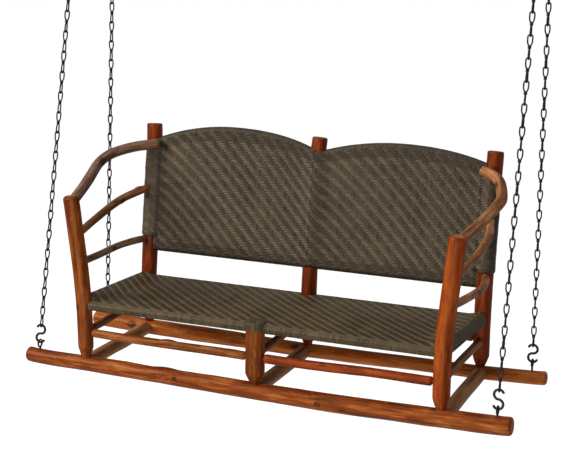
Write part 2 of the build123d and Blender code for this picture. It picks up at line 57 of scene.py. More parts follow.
CAMERA_LENS = 91.83

camera_data = bpy.data.cameras.new("camera")
camera_data.lens = CAMERA_LENS
camera_data.sensor_width = 36
camera = bpy.data.objects.new("camera", camera_data)
bpy.context.scene.collection.objects.link(camera)
bpy.context.scene.camera = camera
back = Vector(
    (
        math.sin(CAMERA_AZIMUTH) * math.cos(CAMERA_ELEVATION),
        -math.cos(CAMERA_AZIMUTH) * math.cos(CAMERA_ELEVATION),
        math.sin(CAMERA_ELEVATION),
    )
)
camera.rotation_mode = "QUATERNION"
roll = Matrix.Rotation(CAMERA_ROLL, 3, "Z").to_quaternion()
camera.rotation_quaternion = (-back).to_track_quat("-Z", "Y") @ roll
camera.location = CAMERA_TARGET + back * CAMERA_DISTANCE

# --- Driving dimensions ---
# They are the model's, except where a comment says how they stray from it.
BAY = 0.570  # from the centre posts to the outer ones
SKID_Y = 0.2133
SKID_HALF = 0.7775
SKID_BOW = 0.0146
SKID_R = {  # at evenly spaced places from the left end to the right one, thicker than the model's
    "front": (0.0232, 0.0250, 0.0264, 0.0276, 0.0280),
    "rear": (0.0255, 0.0260, 0.0234, 0.0219, 0.0217),
}
SKID_LIFT = {  # how far each log strays up from the bow, at the same places
    "front": (0.0035, 0.0078, 0.0054, 0.0028, 0.0010),
    "rear": (-0.0030, -0.0015, 0.0004, -0.0010, -0.0005),
}
POST_R = {
    ("front", "left"): 0.024,
    ("front", "centre"): 0.0285,
    ("front", "right"): 0.0255,
    ("rear", "left"): 0.0255,
    ("rear", "centre"): 0.0245,
    ("rear", "right"): 0.0255,
}
ARM_POST_H = 0.528
FLARE_H = 0.225
FLARE = {"left": 0.038, "right": 0.034}
CENTRE_POST_H = 0.207
REAR_POST_H = 0.668
REAR_POST_BEND_H = 0.60  # above this a rear post strays to its top, given as a shift along X and a height
REAR_POST_TOP = {"left": (-0.006, 0.671), "centre": (0.007, 0.6695), "right": (0.003, 0.671)}
LEAN_H = 0.200
LEAN = 0.0706
LEAN_ANGLE = math.atan2(LEAN, REAR_POST_H - LEAN_H)
SEAT_FRONT_H = 0.188
SEAT_REAR_H = 0.161
SEAT_SIDE_X = 0.574
ROLL_R = 0.0148  # outside of the weave round a rail
STRETCHER_H = {"front": (0.0965, 0.1015), "rear": (0.100, 0.100)}  # at the centre post and at the outer ones
SIDE_STRETCHER_H = {"front": 0.103, "rear": 0.098}
CROSS_OFFSET = {"left": -0.004, "centre": -0.005, "right": 0.005}
BACK_RAIL_H = 0.271
HOOP_END_H = 0.618
HOOP_RISE = {"left": 0.047, "right": 0.039}
HOOP_LIFT = {"left": 0.0065, "right": 0.004}  # how much further the weave stands up at a hoop's right end
HOOP_GAP = 0.005
WRAP_LOW_H = 0.305  # 8 mm lower than the model's
WRAP_TOP_H = 0.598
STRAND = 0.007  # pitch of the weave's strands
SIDES = {"left": -1, "right": 1}
BAYS = {"left": -1, "centre": 0, "right": 1}
ROW_Y = {"front": -SKID_Y, "rear": SKID_Y}


def at(x, y, h):
    """A point given by its height above the skid line."""
    return np.array((x, y, h - CEILING_H))


def along_skid(values, x):
    """A value at x from values at evenly spaced places along a skid."""
    return float(np.interp(x, np.linspace(-SKID_HALF, SKID_HALF, len(values)), values))


def skid_radius(row, x):
    return along_skid(SKID_R[row], x)


def skid_h(row, x):
    """Height of a skid's axis: its bow, and how far the log strays from it."""
    return -SKID_BOW * (1 - (x / SKID_HALF) ** 2) + along_skid(SKID_LIFT[row], x)


def rear_post_y(h):
    return SKID_Y + math.tan(LEAN_ANGLE) * max(0.0, h - LEAN_H)


def arm_post_x(bay, h):
    return SIDES[bay] * (BAY + FLARE[bay] * max(0.0, h - FLARE_H) / (ARM_POST_H - FLARE_H))


# --- Noise and meshes ---
LATTICE = np.random.default_rng(7).random((32, 32, 32)) * 2 - 1


def smooth_noise(x, y, z, seed):
    """Smooth noise from -1 to 1 at points given as three arrays."""
    shift = np.random.default_rng(seed).random(3) * 31
    cells, parts = [], []
    for value, move in zip(np.broadcast_arrays(x, y, z), shift):
        moved = value + move
        whole = np.floor(moved)
        part = moved - whole
        cells.append(whole.astype(int))
        parts.append(part * part * (3 - 2 * part))
    total = 0
    for corner in np.ndindex(2, 2, 2):
        weight = 1
        for part, step in zip(parts, corner):
            weight = weight * (part if step else 1 - part)
        index = tuple((cell + step) % 32 for cell, step in zip(cells, corner))
        total = total + weight * LATTICE[index]
    return total


def smooth_step(value):
    value = np.clip(value, 0, 1)
    return value * value * (3 - 2 * value)


def make_mesh(name, points, quads, lids, fields, material):
    """An object from points, quads and many-sided lids, with its point attributes."""
    used = np.zeros(len(points), bool)
    used[quads.ravel()] = True
    for lid in lids:
        used[lid] = True
    renumber = np.cumsum(used) - 1
    points = points[used]
    quads = renumber[quads]
    loops = np.concatenate([quads.ravel(), *[renumber[lid] for lid in lids]])
    sizes = np.concatenate([np.full(len(quads), 4), [len(lid) for lid in lids]]).astype(np.int32)
    starts = np.concatenate([[0], np.cumsum(sizes)[:-1]]).astype(np.int32)
    mesh = bpy.data.meshes.new(name)
    mesh.vertices.add(len(points))
    mesh.vertices.foreach_set("co", points.astype(np.float32).ravel())
    mesh.loops.add(len(loops))
    mesh.loops.foreach_set("vertex_index", loops.astype(np.int32))
    mesh.polygons.add(len(sizes))
    mesh.polygons.foreach_set("loop_start", starts)
    mesh.polygons.foreach_set("loop_total", sizes)
    mesh.update(calc_edges=True)
    mesh.polygons.foreach_set("use_smooth", np.ones(len(sizes), bool))
    for field, values in fields.items():
        values = values[used].astype(np.float32)
        if values.ndim == 2:
            mesh.attributes.new(field, "FLOAT_VECTOR", "POINT").data.foreach_set("vector", values.ravel())
        else:
            mesh.attributes.new(field, "FLOAT", "POINT").data.foreach_set("value", values)
    mesh.materials.append(material)
    piece = bpy.data.objects.new(name, mesh)
    bpy.context.scene.collection.objects.link(piece)
    return piece


def grid_quads(rows, columns, wrap=False, flip=False):
    """Corner numbers of the quads of a grid of points, row by row."""
    row, column = np.meshgrid(np.arange(rows - 1), np.arange(columns if wrap else columns - 1), indexing="ij")
    after = (column + 1) % columns
    here, beyond = row * columns, (row + 1) * columns
    corners = [here + column, here + after, beyond + after, beyond + column]
    if flip:
        corners.reverse()
    return np.stack(corners, axis=-1).reshape(-1, 4)


def smooth_route(corners, step):
    """Evenly spaced points on a quadratic B-spline with the corners as its control points."""
    corners = [np.asarray(c, float) for c in corners]
    if len(corners) == 2:
        dense = np.linspace(corners[0], corners[1], 50)
    else:
        middles = [(a + b) / 2 for a, b in zip(corners, corners[1:])]
        pieces = [np.linspace(corners[0], middles[0], 20, endpoint=False)]
        t = np.linspace(0, 1, 30, endpoint=False)[:, None]
        for before, corner, after in zip(middles, corners[1:], middles[1:]):
            pieces.append((1 - t) ** 2 * before + 2 * t * (1 - t) * corner + t * t * after)
        pieces.append(np.linspace(middles[-1], corners[-1], 20))
        dense = np.concatenate(pieces)
    lengths = np.concatenate([[0], np.cumsum(np.linalg.norm(np.diff(dense, axis=0), axis=1))])
    count = max(4, int(round(lengths[-1] / step)) + 1)
    places = np.linspace(0, lengths[-1], count)
    return np.stack([np.interp(places, lengths, dense[:, axis]) for axis in range(3)], axis=1), places


def carried_frames(route):
    """Directions along a route and two across it that don't twist."""
    along = np.gradient(route, axis=0)
    along /= np.linalg.norm(along, axis=1)[:, None]
    guide = np.array((0, 0, 1.0)) if abs(along[0][2]) < 0.8 else np.array((0, -1.0, 0))
    across = np.zeros_like(along)
    for index, direction in enumerate(along):
        guide = guide - direction * guide.dot(direction)
        guide /= np.linalg.norm(guide)
        across[index] = guide
    return along, across, np.cross(along, across)


def swept(centre, across, side, out_across, out_side):
    """Points, quads and lids of closed rings round a route, at distances across it and to its side."""
    points = centre[:, None, :] + across[:, None, :] * out_across[:, :, None]
    points = points + side[:, None, :] * out_side[:, :, None]
    rows, around = out_across.shape
    lids = [np.arange(around)[::-1], (rows - 1) * around + np.arange(around)]
    return points.reshape(-1, 3), grid_quads(rows, around, wrap=True), lids


# --- Logs ---
LOG_STEP = 0.004
LOG_AROUND = 56
HIDDEN_END = 0.03  # a log does not stray within this of its ends
WANDER_LENGTH = 0.16  # a log strays to one side and back over about this
RIB_HEIGHT = 0.010  # ribs along the grain, as a share of the radius
KNOT_STRETCH = 1.35  # a knot is longer along the log than round it
KNOT_EDGE = 1.3  # where a knot ends, in knot sizes
FOOT_FACETS = 7
FACET_DEPTH = 1.6


def end_rings(radius, edge):
    """Rings of a rounded, closed end: how far in each is, its share of the radius and whether it is sawn."""
    turn = np.linspace(90, 0, 9) * math.pi / 180
    rounding = [(edge * (1 - math.sin(a)), (radius - edge + edge * math.cos(a)) / radius, 0.0) for a in turn]
    rim = rounding[0][1]
    sawn = [(0.0, rim * share, 1.0) for share in (0.06, 0.3, 0.55, 0.8)]
    return sawn + rounding[:-1]


def make_log(
    name,
    corners,
    radius_at,
    material,
    slot,
    seed,
    node,
    edges=(0.003, 0.003),
    wander=0.0016,
    lumps=0.035,
    knots=(),
    facets=0.0,
):
    """A peeled log along a route. Its grain, knots and sawn ends are point attributes for its material.

    Each knot is its place along the log, its angle in degrees, its size, its height and how dark it is.
    """
    route, places = smooth_route(corners, LOG_STEP)
    length = places[-1]
    fade = smooth_step(places / HIDDEN_END) * smooth_step((length - places) / HIDDEN_END)
    along, across, side = carried_frames(route)
    for axis, number in ((across, 1), (side, 2)):
        stray = smooth_noise(places / WANDER_LENGTH, 0, 0, seed * 10 + number)
        route = route + axis * (wander * fade * stray)[:, None]
    body = [(place, 1.0, 0.0) for place in places if edges[0] < place < length - edges[1]]
    far_end = [(length - place, share, sawn) for place, share, sawn in end_rings(radius_at(length), edges[1])]
    stations = end_rings(radius_at(0.0), edges[0]) + body + far_end[::-1]
    place, share, sawn = (np.array(column) for column in zip(*stations))

    def at_stations(values):
        return np.stack([np.interp(place, places, values[:, axis]) for axis in range(3)], axis=1)

    centre, across, side = at_stations(route), at_stations(across), at_stations(side)
    angle = np.arange(LOG_AROUND) / LOG_AROUND * 2 * math.pi
    cosine, sine = np.cos(angle)[None, :], np.sin(angle)[None, :]
    s = place[:, None]

    def skin_noise(turns, reach, number):
        return smooth_noise(cosine * turns, sine * turns, s / reach, seed + number)

    rough = lumps * skin_noise(0.9, 0.09, 0)
    rough = rough + 0.3 * lumps * skin_noise(2.2, 0.035, 1)
    rough = rough + RIB_HEIGHT * skin_noise(9, 0.09, 2)
    base = np.array([radius_at(p) for p in place])[:, None]
    radius = base * (1 + rough)
    knot_field = np.zeros((len(place), LOG_AROUND))
    for knot_place, knot_angle, knot_size, knot_height, knot_tone in knots:
        turn = (angle[None, :] - math.radians(knot_angle) + math.pi) % (2 * math.pi) - math.pi
        along_knot = (s - knot_place) / (KNOT_STRETCH * knot_size)
        distance = np.sqrt(along_knot**2 + (turn * base / knot_size) ** 2)
        hollow = 0.25 * abs(knot_height) * np.exp(-((distance - KNOT_EDGE) ** 2) * 6)
        radius = radius + knot_height * np.exp(-(distance**2)) - hollow
        knot_field = np.maximum(knot_field, knot_tone * np.clip(KNOT_EDGE - distance, 0, 1))
    if facets:
        cut = np.clip((facets - s) / facets * 3, 0, 1)
        wedge = 2 * math.pi / FOOT_FACETS
        flat = math.cos(wedge / 2) / np.cos((angle + 0.4) % wedge - wedge / 2)
        radius = radius * (1 + cut * FACET_DEPTH * (flat[None, :] - flat.mean()))
    radius = radius * share[:, None]
    points, quads, lids = swept(centre, across, side, radius * cosine, radius * sine)
    grain = np.stack([radius * cosine, radius * sine, np.broadcast_to(s, radius.shape)], axis=-1)
    grain = grain + np.random.default_rng(seed + 500).random(3) * 5
    fields = {
        "grain": grain.reshape(-1, 3),
        "knot": knot_field.ravel(),
        "sawn": np.repeat(sawn, LOG_AROUND),
        "rim": np.repeat(share, LOG_AROUND),
    }
    log = make_mesh(name, points, quads, lids, fields, material)
    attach(log, "swing_seat")
    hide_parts(node)


# --- Materials ---
SOCKETS = {"specular_ior_level": "Specular IOR Level"}
VARNISH_TINT = (1.0, 0.60, 0.30, 1.0)
CANE_TINT = (1.0, 0.88, 0.72, 1.0)
SAWN_COLOURS = [(0.1, (0.18, 0.07, 0.03)), (0.6, (0.36, 0.18, 0.08)), (1.0, (0.50, 0.28, 0.14))]


class Shader:
    """A material's node tree, with short calls to add to it."""

    def __init__(self, name):
        self.material = bpy.data.materials.new(name)
        self.material.use_nodes = True
        self.tree = self.material.node_tree
        self.surface = self.tree.nodes["Principled BSDF"]

    def node(self, kind, inputs=None, **settings):
        made = self.tree.nodes.new(kind)
        for key, value in settings.items():
            setattr(made, key, value)
        for key, value in (inputs or {}).items():
            self.set(made.inputs[key], value)
        return made

    def set(self, socket, value):
        if isinstance(value, bpy.types.NodeSocket):
            self.tree.links.new(value, socket)
        else:
            socket.default_value = value

    def maths(self, operation, first, second=0.0, clamp=False):
        inputs = {0: first, 1: second}
        return self.node("ShaderNodeMath", inputs, operation=operation, use_clamp=clamp).outputs[0]

    def plus(self, first, second, gain):
        """One value and so much of another."""
        return self.maths("ADD", first, self.maths("MULTIPLY", second, gain))

    def centred(self, value, gain):
        """A value from 0 to 1 turned into one about 0, times a gain."""
        return self.maths("MULTIPLY", self.maths("SUBTRACT", value, 0.5), gain)

    def attribute(self, name, output="Fac"):
        return self.node("ShaderNodeAttribute", attribute_name=name).outputs[output]

    def noise(self, vector, scale, detail=3.0, distortion=0.0):
        place = self.node("ShaderNodeVectorMath", {0: vector, 1: scale}, operation="MULTIPLY").outputs[0]
        inputs = {"Vector": place, "Scale": 1.0, "Detail": detail, "Distortion": distortion, "Roughness": 0.55}
        return self.node("ShaderNodeTexNoise", inputs).outputs["Fac"]

    def ramp(self, value, stops):
        made = self.node("ShaderNodeValToRGB", {"Fac": value})
        elements = made.color_ramp.elements
        while len(elements) < len(stops):
            elements.new(0.5)
        for element, (place, colour) in zip(elements, stops):
            element.position = place
            element.color = (*colour, 1) if isinstance(colour, tuple) else (colour, colour, colour, 1)
        return made.outputs["Color"]

    def mix(self, share, first, second):
        """Two colours, each an output or three numbers, mixed by a share."""
        made = self.node("ShaderNodeMix", data_type="RGBA")
        for name, value in (("Factor", share), ("A", first), ("B", second)):
            self.set(made.inputs[name], (*value, 1) if isinstance(value, tuple) else value)
        return made.outputs["Result"]

    def finish(self, colour, roughness, bumps, **numbers):
        """Connects colour, roughness and a chain of bumps, and sets the shader's plain numbers."""
        self.set(self.surface.inputs["Base Color"], colour)
        self.set(self.surface.inputs["Roughness"], roughness)
        normal = None
        for height, distance, strength in bumps:
            made = self.node("ShaderNodeBump", {"Height": height, "Distance": distance, "Strength": strength})
            if normal:
                self.set(made.inputs["Normal"], normal)
            normal = made.outputs["Normal"]
        self.set(self.surface.inputs["Normal"], normal)
        for name, value in numbers.items():
            self.surface.inputs[SOCKETS.get(name, name.replace("_", " ").title())].default_value = value
        return self.material


def wood(name, dark, middle, light, streaks=0.5, flecks=0.55):
    """Varnished peeled wood: grain along the log, broad mottling, dark flecks, knots and sawn ends."""
    shader = Shader(name)
    grain = shader.attribute("grain", "Vector")
    mottle = shader.noise(grain, (38, 38, 7), 4, 0.6)
    streak = shader.noise(grain, (230, 230, 9), 4, 0.3)
    fibre = shader.noise(grain, (1100, 1100, 28), 2)
    tone = shader.centred(mottle, 1.35)
    tone = shader.maths("ADD", tone, shader.centred(streak, 1.6 * streaks))
    tone = shader.maths("ADD", tone, shader.centred(fibre, 0.35))
    tone = shader.maths("ADD", tone, 0.5, clamp=True)
    colour = shader.ramp(tone, [(0.12, dark), (0.5, middle), (0.88, light)])
    spots = shader.noise(grain, (120, 120, 42), 3, 0.4)
    spots = shader.ramp(spots, [(0.60, 0.0), (0.72, 1.0)])
    spot_share = shader.maths("MULTIPLY", spots, flecks)
    colour = shader.mix(spot_share, colour, tuple(c * 0.35 for c in dark))
    pale = shader.ramp(shader.noise(grain, (75, 75, 16), 3, 0.8), [(0.58, 0.0), (0.74, 1.0)])
    colour = shader.mix(shader.maths("MULTIPLY", pale, 0.35), colour, tuple(min(1, c * 1.35) for c in light))
    knot = shader.attribute("knot")
    ring = shader.ramp(knot, [(0.0, 0.0), (0.3, 0.75), (0.62, 0.9), (0.85, 0.35)])
    colour = shader.mix(ring, colour, tuple(c * 0.22 for c in dark))
    heart = shader.ramp(knot, [(0.72, 0.0), (0.95, 0.7)])
    colour = shader.mix(heart, colour, (0.42, 0.13, 0.03))
    rim = shader.attribute("rim")
    wobble = shader.maths("ADD", rim, shader.maths("MULTIPLY", shader.noise(grain, (60, 60, 60), 2), 0.25))
    rings = shader.maths("SINE", shader.maths("MULTIPLY", wobble, 62.0))
    rings = shader.maths("ADD", shader.maths("MULTIPLY", rings, 0.5), 0.5)
    rings = shader.maths("MULTIPLY", rings, 0.45)
    sawn_tone = shader.plus(rings, fibre, 0.5)
    sawn_colour = shader.ramp(sawn_tone, SAWN_COLOURS)
    sawn = shader.attribute("sawn")
    colour = shader.mix(sawn, colour, sawn_colour)
    roughness = shader.plus(0.30, streak, 0.22)
    roughness = shader.plus(roughness, sawn, 0.3)
    bumps = [(mottle, 0.0016, 0.45), (streak, 0.0007, 0.5), (fibre, 0.00025, 0.4), (spots, 0.0004, 0.35)]
    return shader.finish(colour, roughness, bumps, specular_ior_level=0.42, specular_tint=VARNISH_TINT)


def cane(name, dark, light):
    """Dark flat cane: streaks along each strand, tone from strand to strand with painted light and shade from
    the tint attribute, and painted shade in the gaps between strands.
    """
    shader = Shader(name)
    strand = shader.attribute("strand", "Vector")
    tint = shader.attribute("tint")
    height = shader.attribute("height")
    streak = shader.noise(strand, (1600, 45, 1.0), 3)
    blotch = shader.noise(strand, (120, 40, 1.0), 2)
    tone = shader.maths("ADD", shader.maths("MULTIPLY", streak, 0.5), shader.maths("MULTIPLY", tint, 0.5))
    tone = shader.maths("ADD", tone, shader.centred(blotch, 0.4))
    colour = shader.ramp(tone, [(0.15, dark), (0.8, light)])
    # Painted shade: where the weave is low (the height attribute), the colour is darkened to near black.
    gap_shade = shader.ramp(height, [(0.0, 0.9), (0.3, 0.35), (0.6, 0.0)])
    colour = shader.mix(gap_shade, colour, (0.006, 0.005, 0.004))
    roughness = shader.plus(0.36, streak, 0.2)
    bumps = [(streak, 0.0003, 0.5), (blotch, 0.0005, 0.25)]
    return shader.finish(colour, roughness, bumps, specular_ior_level=0.35, specular_tint=CANE_TINT)


def blackened_steel(name):
    """Black coated steel with a slightly uneven coat, worn paler in places."""
    shader = Shader(name)
    place = shader.node("ShaderNodeTexCoord").outputs["Object"]
    grit = shader.noise(place, (900, 900, 900), 3)
    wear = shader.ramp(shader.noise(place, (260, 260, 260), 4), [(0.56, 0.0), (0.70, 1.0)])
    colour = shader.mix(shader.maths("MULTIPLY", wear, 0.5), (0.018, 0.018, 0.019), (0.075, 0.072, 0.07))
    roughness = shader.plus(0.30, grit, 0.22)
    return shader.finish(colour, roughness, [(grit, 0.0002, 0.35)], metallic=0.55)


def hidden_wood(name, colour):
    """Peeled rails inside the weave: they have no grain attribute, so the grain runs along X."""
    shader = Shader(name)
    place = shader.node("ShaderNodeTexCoord").outputs["Object"]
    streak = shader.noise(place, (9, 230, 230), 4, 0.3)
    mottle = shader.noise(place, (7, 40, 40), 3, 0.5)
    tone = shader.maths("ADD", shader.maths("MULTIPLY", streak, 0.5), shader.maths("MULTIPLY", mottle, 0.5))
    tinted = shader.ramp(tone, [(0.3, tuple(c * 0.4 for c in colour)), (0.7, colour)])
    return shader.finish(tinted, 0.4, [(streak, 0.0006, 0.4)], coat_weight=0.4)


post_wood = wood("post_wood", (0.045, 0.006, 0.001), (0.160, 0.028, 0.002), (0.40, 0.118, 0.024))
right_post_wood = wood(
    "right_post_wood", (0.095, 0.010, 0.001), (0.245, 0.030, 0.001), (0.45, 0.098, 0.008), 0.4, 0.35
)
rear_post_wood = wood("rear_post_wood", (0.055, 0.005, 0.001), (0.150, 0.014, 0.001), (0.34, 0.060, 0.008))
skid_wood = wood("skid_wood", (0.070, 0.009, 0.001), (0.215, 0.036, 0.003), (0.50, 0.155, 0.032), 0.65)
# Painted light: the rear skid's wood is lighter than the front skid's, making up for the seat's shadow over
# it.
rear_skid_wood_painted_light = wood(
    "rear_skid_wood_painted_light", (0.110, 0.020, 0.002), (0.370, 0.082, 0.010), (0.60, 0.20, 0.040), 0.6
)
rail_wood = wood("rail_wood", (0.060, 0.013, 0.002), (0.200, 0.048, 0.007), (0.46, 0.18, 0.048), 0.65)
red_rail_wood = wood("red_rail_wood", (0.080, 0.008, 0.001), (0.240, 0.028, 0.003), (0.42, 0.085, 0.012), 0.6)
# Painted light: the cross members' wood is made lighter to make up for the shade under the seat.
cross_wood_painted_light = wood("cross_wood_painted_light", (0.130, 0.044, 0.014), (0.370, 0.155, 0.048), (0.60, 0.31, 0.12), 0.6)
left_arm_wood = wood(
    "left_arm_wood", (0.045, 0.021, 0.013), (0.130, 0.066, 0.042), (0.30, 0.175, 0.115), 0.9, 0.35
)
spindle_wood = wood(
    "spindle_wood", (0.065, 0.020, 0.007), (0.185, 0.060, 0.022), (0.38, 0.16, 0.068), 0.9, 0.35
)
right_arm_wood = wood(
    "right_arm_wood", (0.095, 0.026, 0.008), (0.270, 0.092, 0.030), (0.60, 0.30, 0.14), 0.8, 0.4
)
seat_cane = cane("seat_cane", (0.007, 0.005, 0.002), (0.148, 0.103, 0.052))
back_cane = cane("back_cane", (0.003, 0.002, 0.001), (0.140, 0.104, 0.067))
black_steel = blackened_steel("black_steel")
inner_wood = hidden_wood("inner_wood", (0.30, 0.12, 0.05))


# --- Posts ---
FOOT_TIP_R = 0.013
FOOT_TIP_LENGTH = 0.004
FOOT_LENGTH = 0.036
FOOT_SHOULDER = 0.012  # above the foot, where a post comes to its full radius
FOOT_TOP_SHARE = 0.985  # of the full radius, at the top of the foot
FOOT_SUNK = 0.006  # how deep a foot stands in its skid
REAR_BEND_SHARE = 0.4  # how much of its top's shift a rear post has at its bend
POST_KNOTS = {
    ("front", "left"): [(0.30, 200, 0.012, 0.0012, 0.5), (0.17, 330, 0.009, 0.001, 0.5)],
    ("front", "centre"): [(0.12, 150, 0.010, 0.001, 0.5)],
    ("front", "right"): [(0.24, 170, 0.011, 0.0012, 0.5), (0.41, 250, 0.008, 0.001, 0.5)],
    ("rear", "left"): [(0.62, 180, 0.008, 0.0008, 0.5)],
    ("rear", "centre"): [(0.24, 200, 0.009, 0.001, 0.5)],
    ("rear", "right"): [(0.14, 180, 0.010, 0.001, 0.5)],
}


def post_radius(radius):
    """A post's radius: a pencil-shaped foot, then the full log."""
    stops = (0, FOOT_TIP_LENGTH, FOOT_LENGTH, FOOT_LENGTH + FOOT_SHOULDER)
    values = (FOOT_TIP_R, FOOT_TIP_R, radius * FOOT_TOP_SHARE, radius)
    return lambda place: float(np.interp(place, stops, values))


def foot_h(row, x):
    """Height where a foot's point stands in its skid."""
    return skid_h(row, x) + skid_radius(row, x) - FOOT_SUNK


for (row, bay), radius in POST_R.items():
    side = BAYS[bay]
    x, y = side * BAY, ROW_Y[row]
    foot = at(x, y, foot_h(row, x))
    if row == "rear":
        material, edge = rear_post_wood, 0.006
        top_x, top_h = REAR_POST_TOP[bay]
        bend = at(x + REAR_BEND_SHARE * top_x, rear_post_y(REAR_POST_BEND_H), REAR_POST_BEND_H)
        corners = [foot, at(x, y, LEAN_H), bend, at(x + top_x, rear_post_y(top_h), top_h)]
    elif bay == "centre":
        material, edge = post_wood, 0.004
        corners = [foot, at(x, y, CENTRE_POST_H)]
    else:
        material = post_wood if bay == "left" else right_post_wood
        edge = 0.010
        corners = [foot, at(x, y, FLARE_H), at(arm_post_x(bay, ARM_POST_H), y, ARM_POST_H)]
    make_log(
        f"log_{row}_post_{bay}",
        corners,
        post_radius(radius),
        material,
        "post_wood",
        seed=10 + 2 * side + (30 if row == "rear" else 0),
        node=f"{row}_post_{bay}",
        edges=(0.001, edge),
        wander=0.0012,
        lumps=0.028,
        knots=POST_KNOTS[row, bay],
        facets=FOOT_LENGTH,
    )

# --- Skids and cross members ---
SKID_SLIM = 0.985  # leaves room for a skid's lumps
SKID_SEED = {"front": 60, "rear": 71}
SKID_WOOD = {"front": skid_wood, "rear": rear_skid_wood_painted_light}
SKID_KNOTS = {
    "front": [
        (0.522, 76, 0.0060, 0.0010, 0.68),
        (0.482, 20, 0.030, 0.0035, 0.0),
        (0.405, 10, 0.024, -0.0022, 0.0),
        (1.06, 110, 0.008, 0.0008, 0.4),
        (0.985, 88, 0.007, 0.0010, 0.8),
        (1.33, 20, 0.012, 0.0012, 0.3),
    ],
    "rear": [(0.150, 80, 0.012, 0.0025, 0.5), (0.74, 60, 0.012, 0.0012, 0.3), (1.21, 120, 0.009, 0.001, 0.5)],
}
for row, y in ROW_Y.items():
    make_log(
        f"log_{row}_skid",
        [at(x, y, skid_h(row, x)) for x in np.linspace(-SKID_HALF, SKID_HALF, 9)],
        lambda place, row=row: skid_radius(row, place - SKID_HALF) * SKID_SLIM,
        SKID_WOOD[row],
        "skid_wood",
        seed=SKID_SEED[row],
        node=f"{row}_skid",
        edges=(0.010, 0.009),
        wander=0.0022,
        lumps=0.035,
        knots=SKID_KNOTS[row],
    )

SHOULDER = 0.006  # length of a rail's turned shoulder
TENON_REACH = 0.5  # a tenon stops this far from the other piece's axis, as a share of its radius
CROSS_R = 0.0218
CROSS_TENON_R = 0.009
CROSS_COPE = 0.72  # where a cross member's shoulders meet a skid, as a share of its radius
SIDE_STRETCHER_R = 0.012
STRETCHER_R = {"left": 0.0132, "right": 0.0140}
STRETCHER_BOW = {"left": 0.001, "right": -0.002}
STRETCHER_WOOD = {"left": rail_wood, "right": red_rail_wood}
RAIL_TENON_R = 0.007


def rail_radius(length, radius, tenon, sunk):
    """A rail's radius: tenons at its ends, turned shoulders, then the full log."""
    stops = (0, sunk[0], sunk[0] + SHOULDER, length - sunk[1] - SHOULDER, length - sunk[1], length)
    values = (tenon, tenon, radius, radius, tenon, tenon)

    def radius_at(place):
        flat = float(np.interp(place, stops, values))
        share = (flat - tenon) / (radius - tenon)
        return tenon + (radius - tenon) * math.sqrt(max(0.0, 1 - (1 - share) ** 2))

    return radius_at


def make_rail(node, corners, radius, tenon, surfaces, material, slot, seed, **settings):
    """A log between two pieces, from axis to axis, with its shoulders just outside their surfaces.

    A surface is the other piece's radius, or 0 at a free end, which keeps its full thickness.
    """
    corners = [np.asarray(corner, float) for corner in corners]
    for index, inner, surface in ((0, 1, surfaces[0]), (-1, -2, surfaces[1])):
        if surface:
            outward = corners[index] - corners[inner]
            outward /= np.linalg.norm(outward)
            corners[index] = corners[index] - outward * (surface * TENON_REACH)
    length = smooth_route(corners, LOG_STEP)[1][-1]
    sunk = [surface * TENON_REACH + 0.001 if surface else -0.02 for surface in surfaces]
    edges = tuple(0.001 if surface else 0.006 for surface in surfaces)
    shape = rail_radius(length, radius, tenon, sunk)
    make_log(f"log_{node}", corners, shape, material, slot, seed, node, edges, **settings)


for number, (bay, side) in enumerate(BAYS.items()):
    x = side * BAY + CROSS_OFFSET[bay]
    make_rail(
        f"cross_member_{bay}",
        [at(x, y, skid_h(row, x)) for row, y in ROW_Y.items()],
        CROSS_R,
        CROSS_TENON_R,
        [CROSS_COPE * skid_radius(row, x) for row in ROW_Y],
        cross_wood_painted_light,
        "skid_wood",
        seed=80 + number,
    )
    make_rail(
        f"side_stretcher_{bay}",
        [at(side * BAY, y, SIDE_STRETCHER_H[row]) for row, y in ROW_Y.items()],
        SIDE_STRETCHER_R,
        RAIL_TENON_R,
        [POST_R[row, bay] for row in ROW_Y],
        rail_wood,
        "rail_wood",
        seed=90 + number,
        lumps=0.06,
    )

STRETCHER_KNOTS = {
    ("front", "left"): [(0.27, 20, 0.016, 0.003, 0.1), (0.06, 90, 0.018, 0.0015, 0.35)],
    ("front", "right"): [(0.20, 30, 0.010, 0.0015, 0.3)],
    ("rear", "left"): [(0.33, 90, 0.010, 0.0012, 0.5)],
    ("rear", "right"): [(0.16, 40, 0.010, 0.0012, 0.5)],
}
for (row, bay), knots in STRETCHER_KNOTS.items():
    side, bow = SIDES[bay], STRETCHER_BOW[bay]
    inner_h, outer_h = STRETCHER_H[row]
    heights = (inner_h, inner_h * 0.66 + outer_h * 0.34 + bow, inner_h * 0.32 + outer_h * 0.68 - bow, outer_h)
    make_rail(
        f"{row}_stretcher_{bay}",
        [at(side * BAY * share, ROW_Y[row], height) for share, height in zip((0, 0.34, 0.68, 1), heights)],
        STRETCHER_R[bay],
        RAIL_TENON_R,
        [POST_R[row, "centre"], POST_R[row, bay]],
        STRETCHER_WOOD[bay],
        "rail_wood",
        seed=100 + side + (5 if row == "rear" else 0),
        knots=knots,
        wander=0.002,
        lumps=0.06,
    )

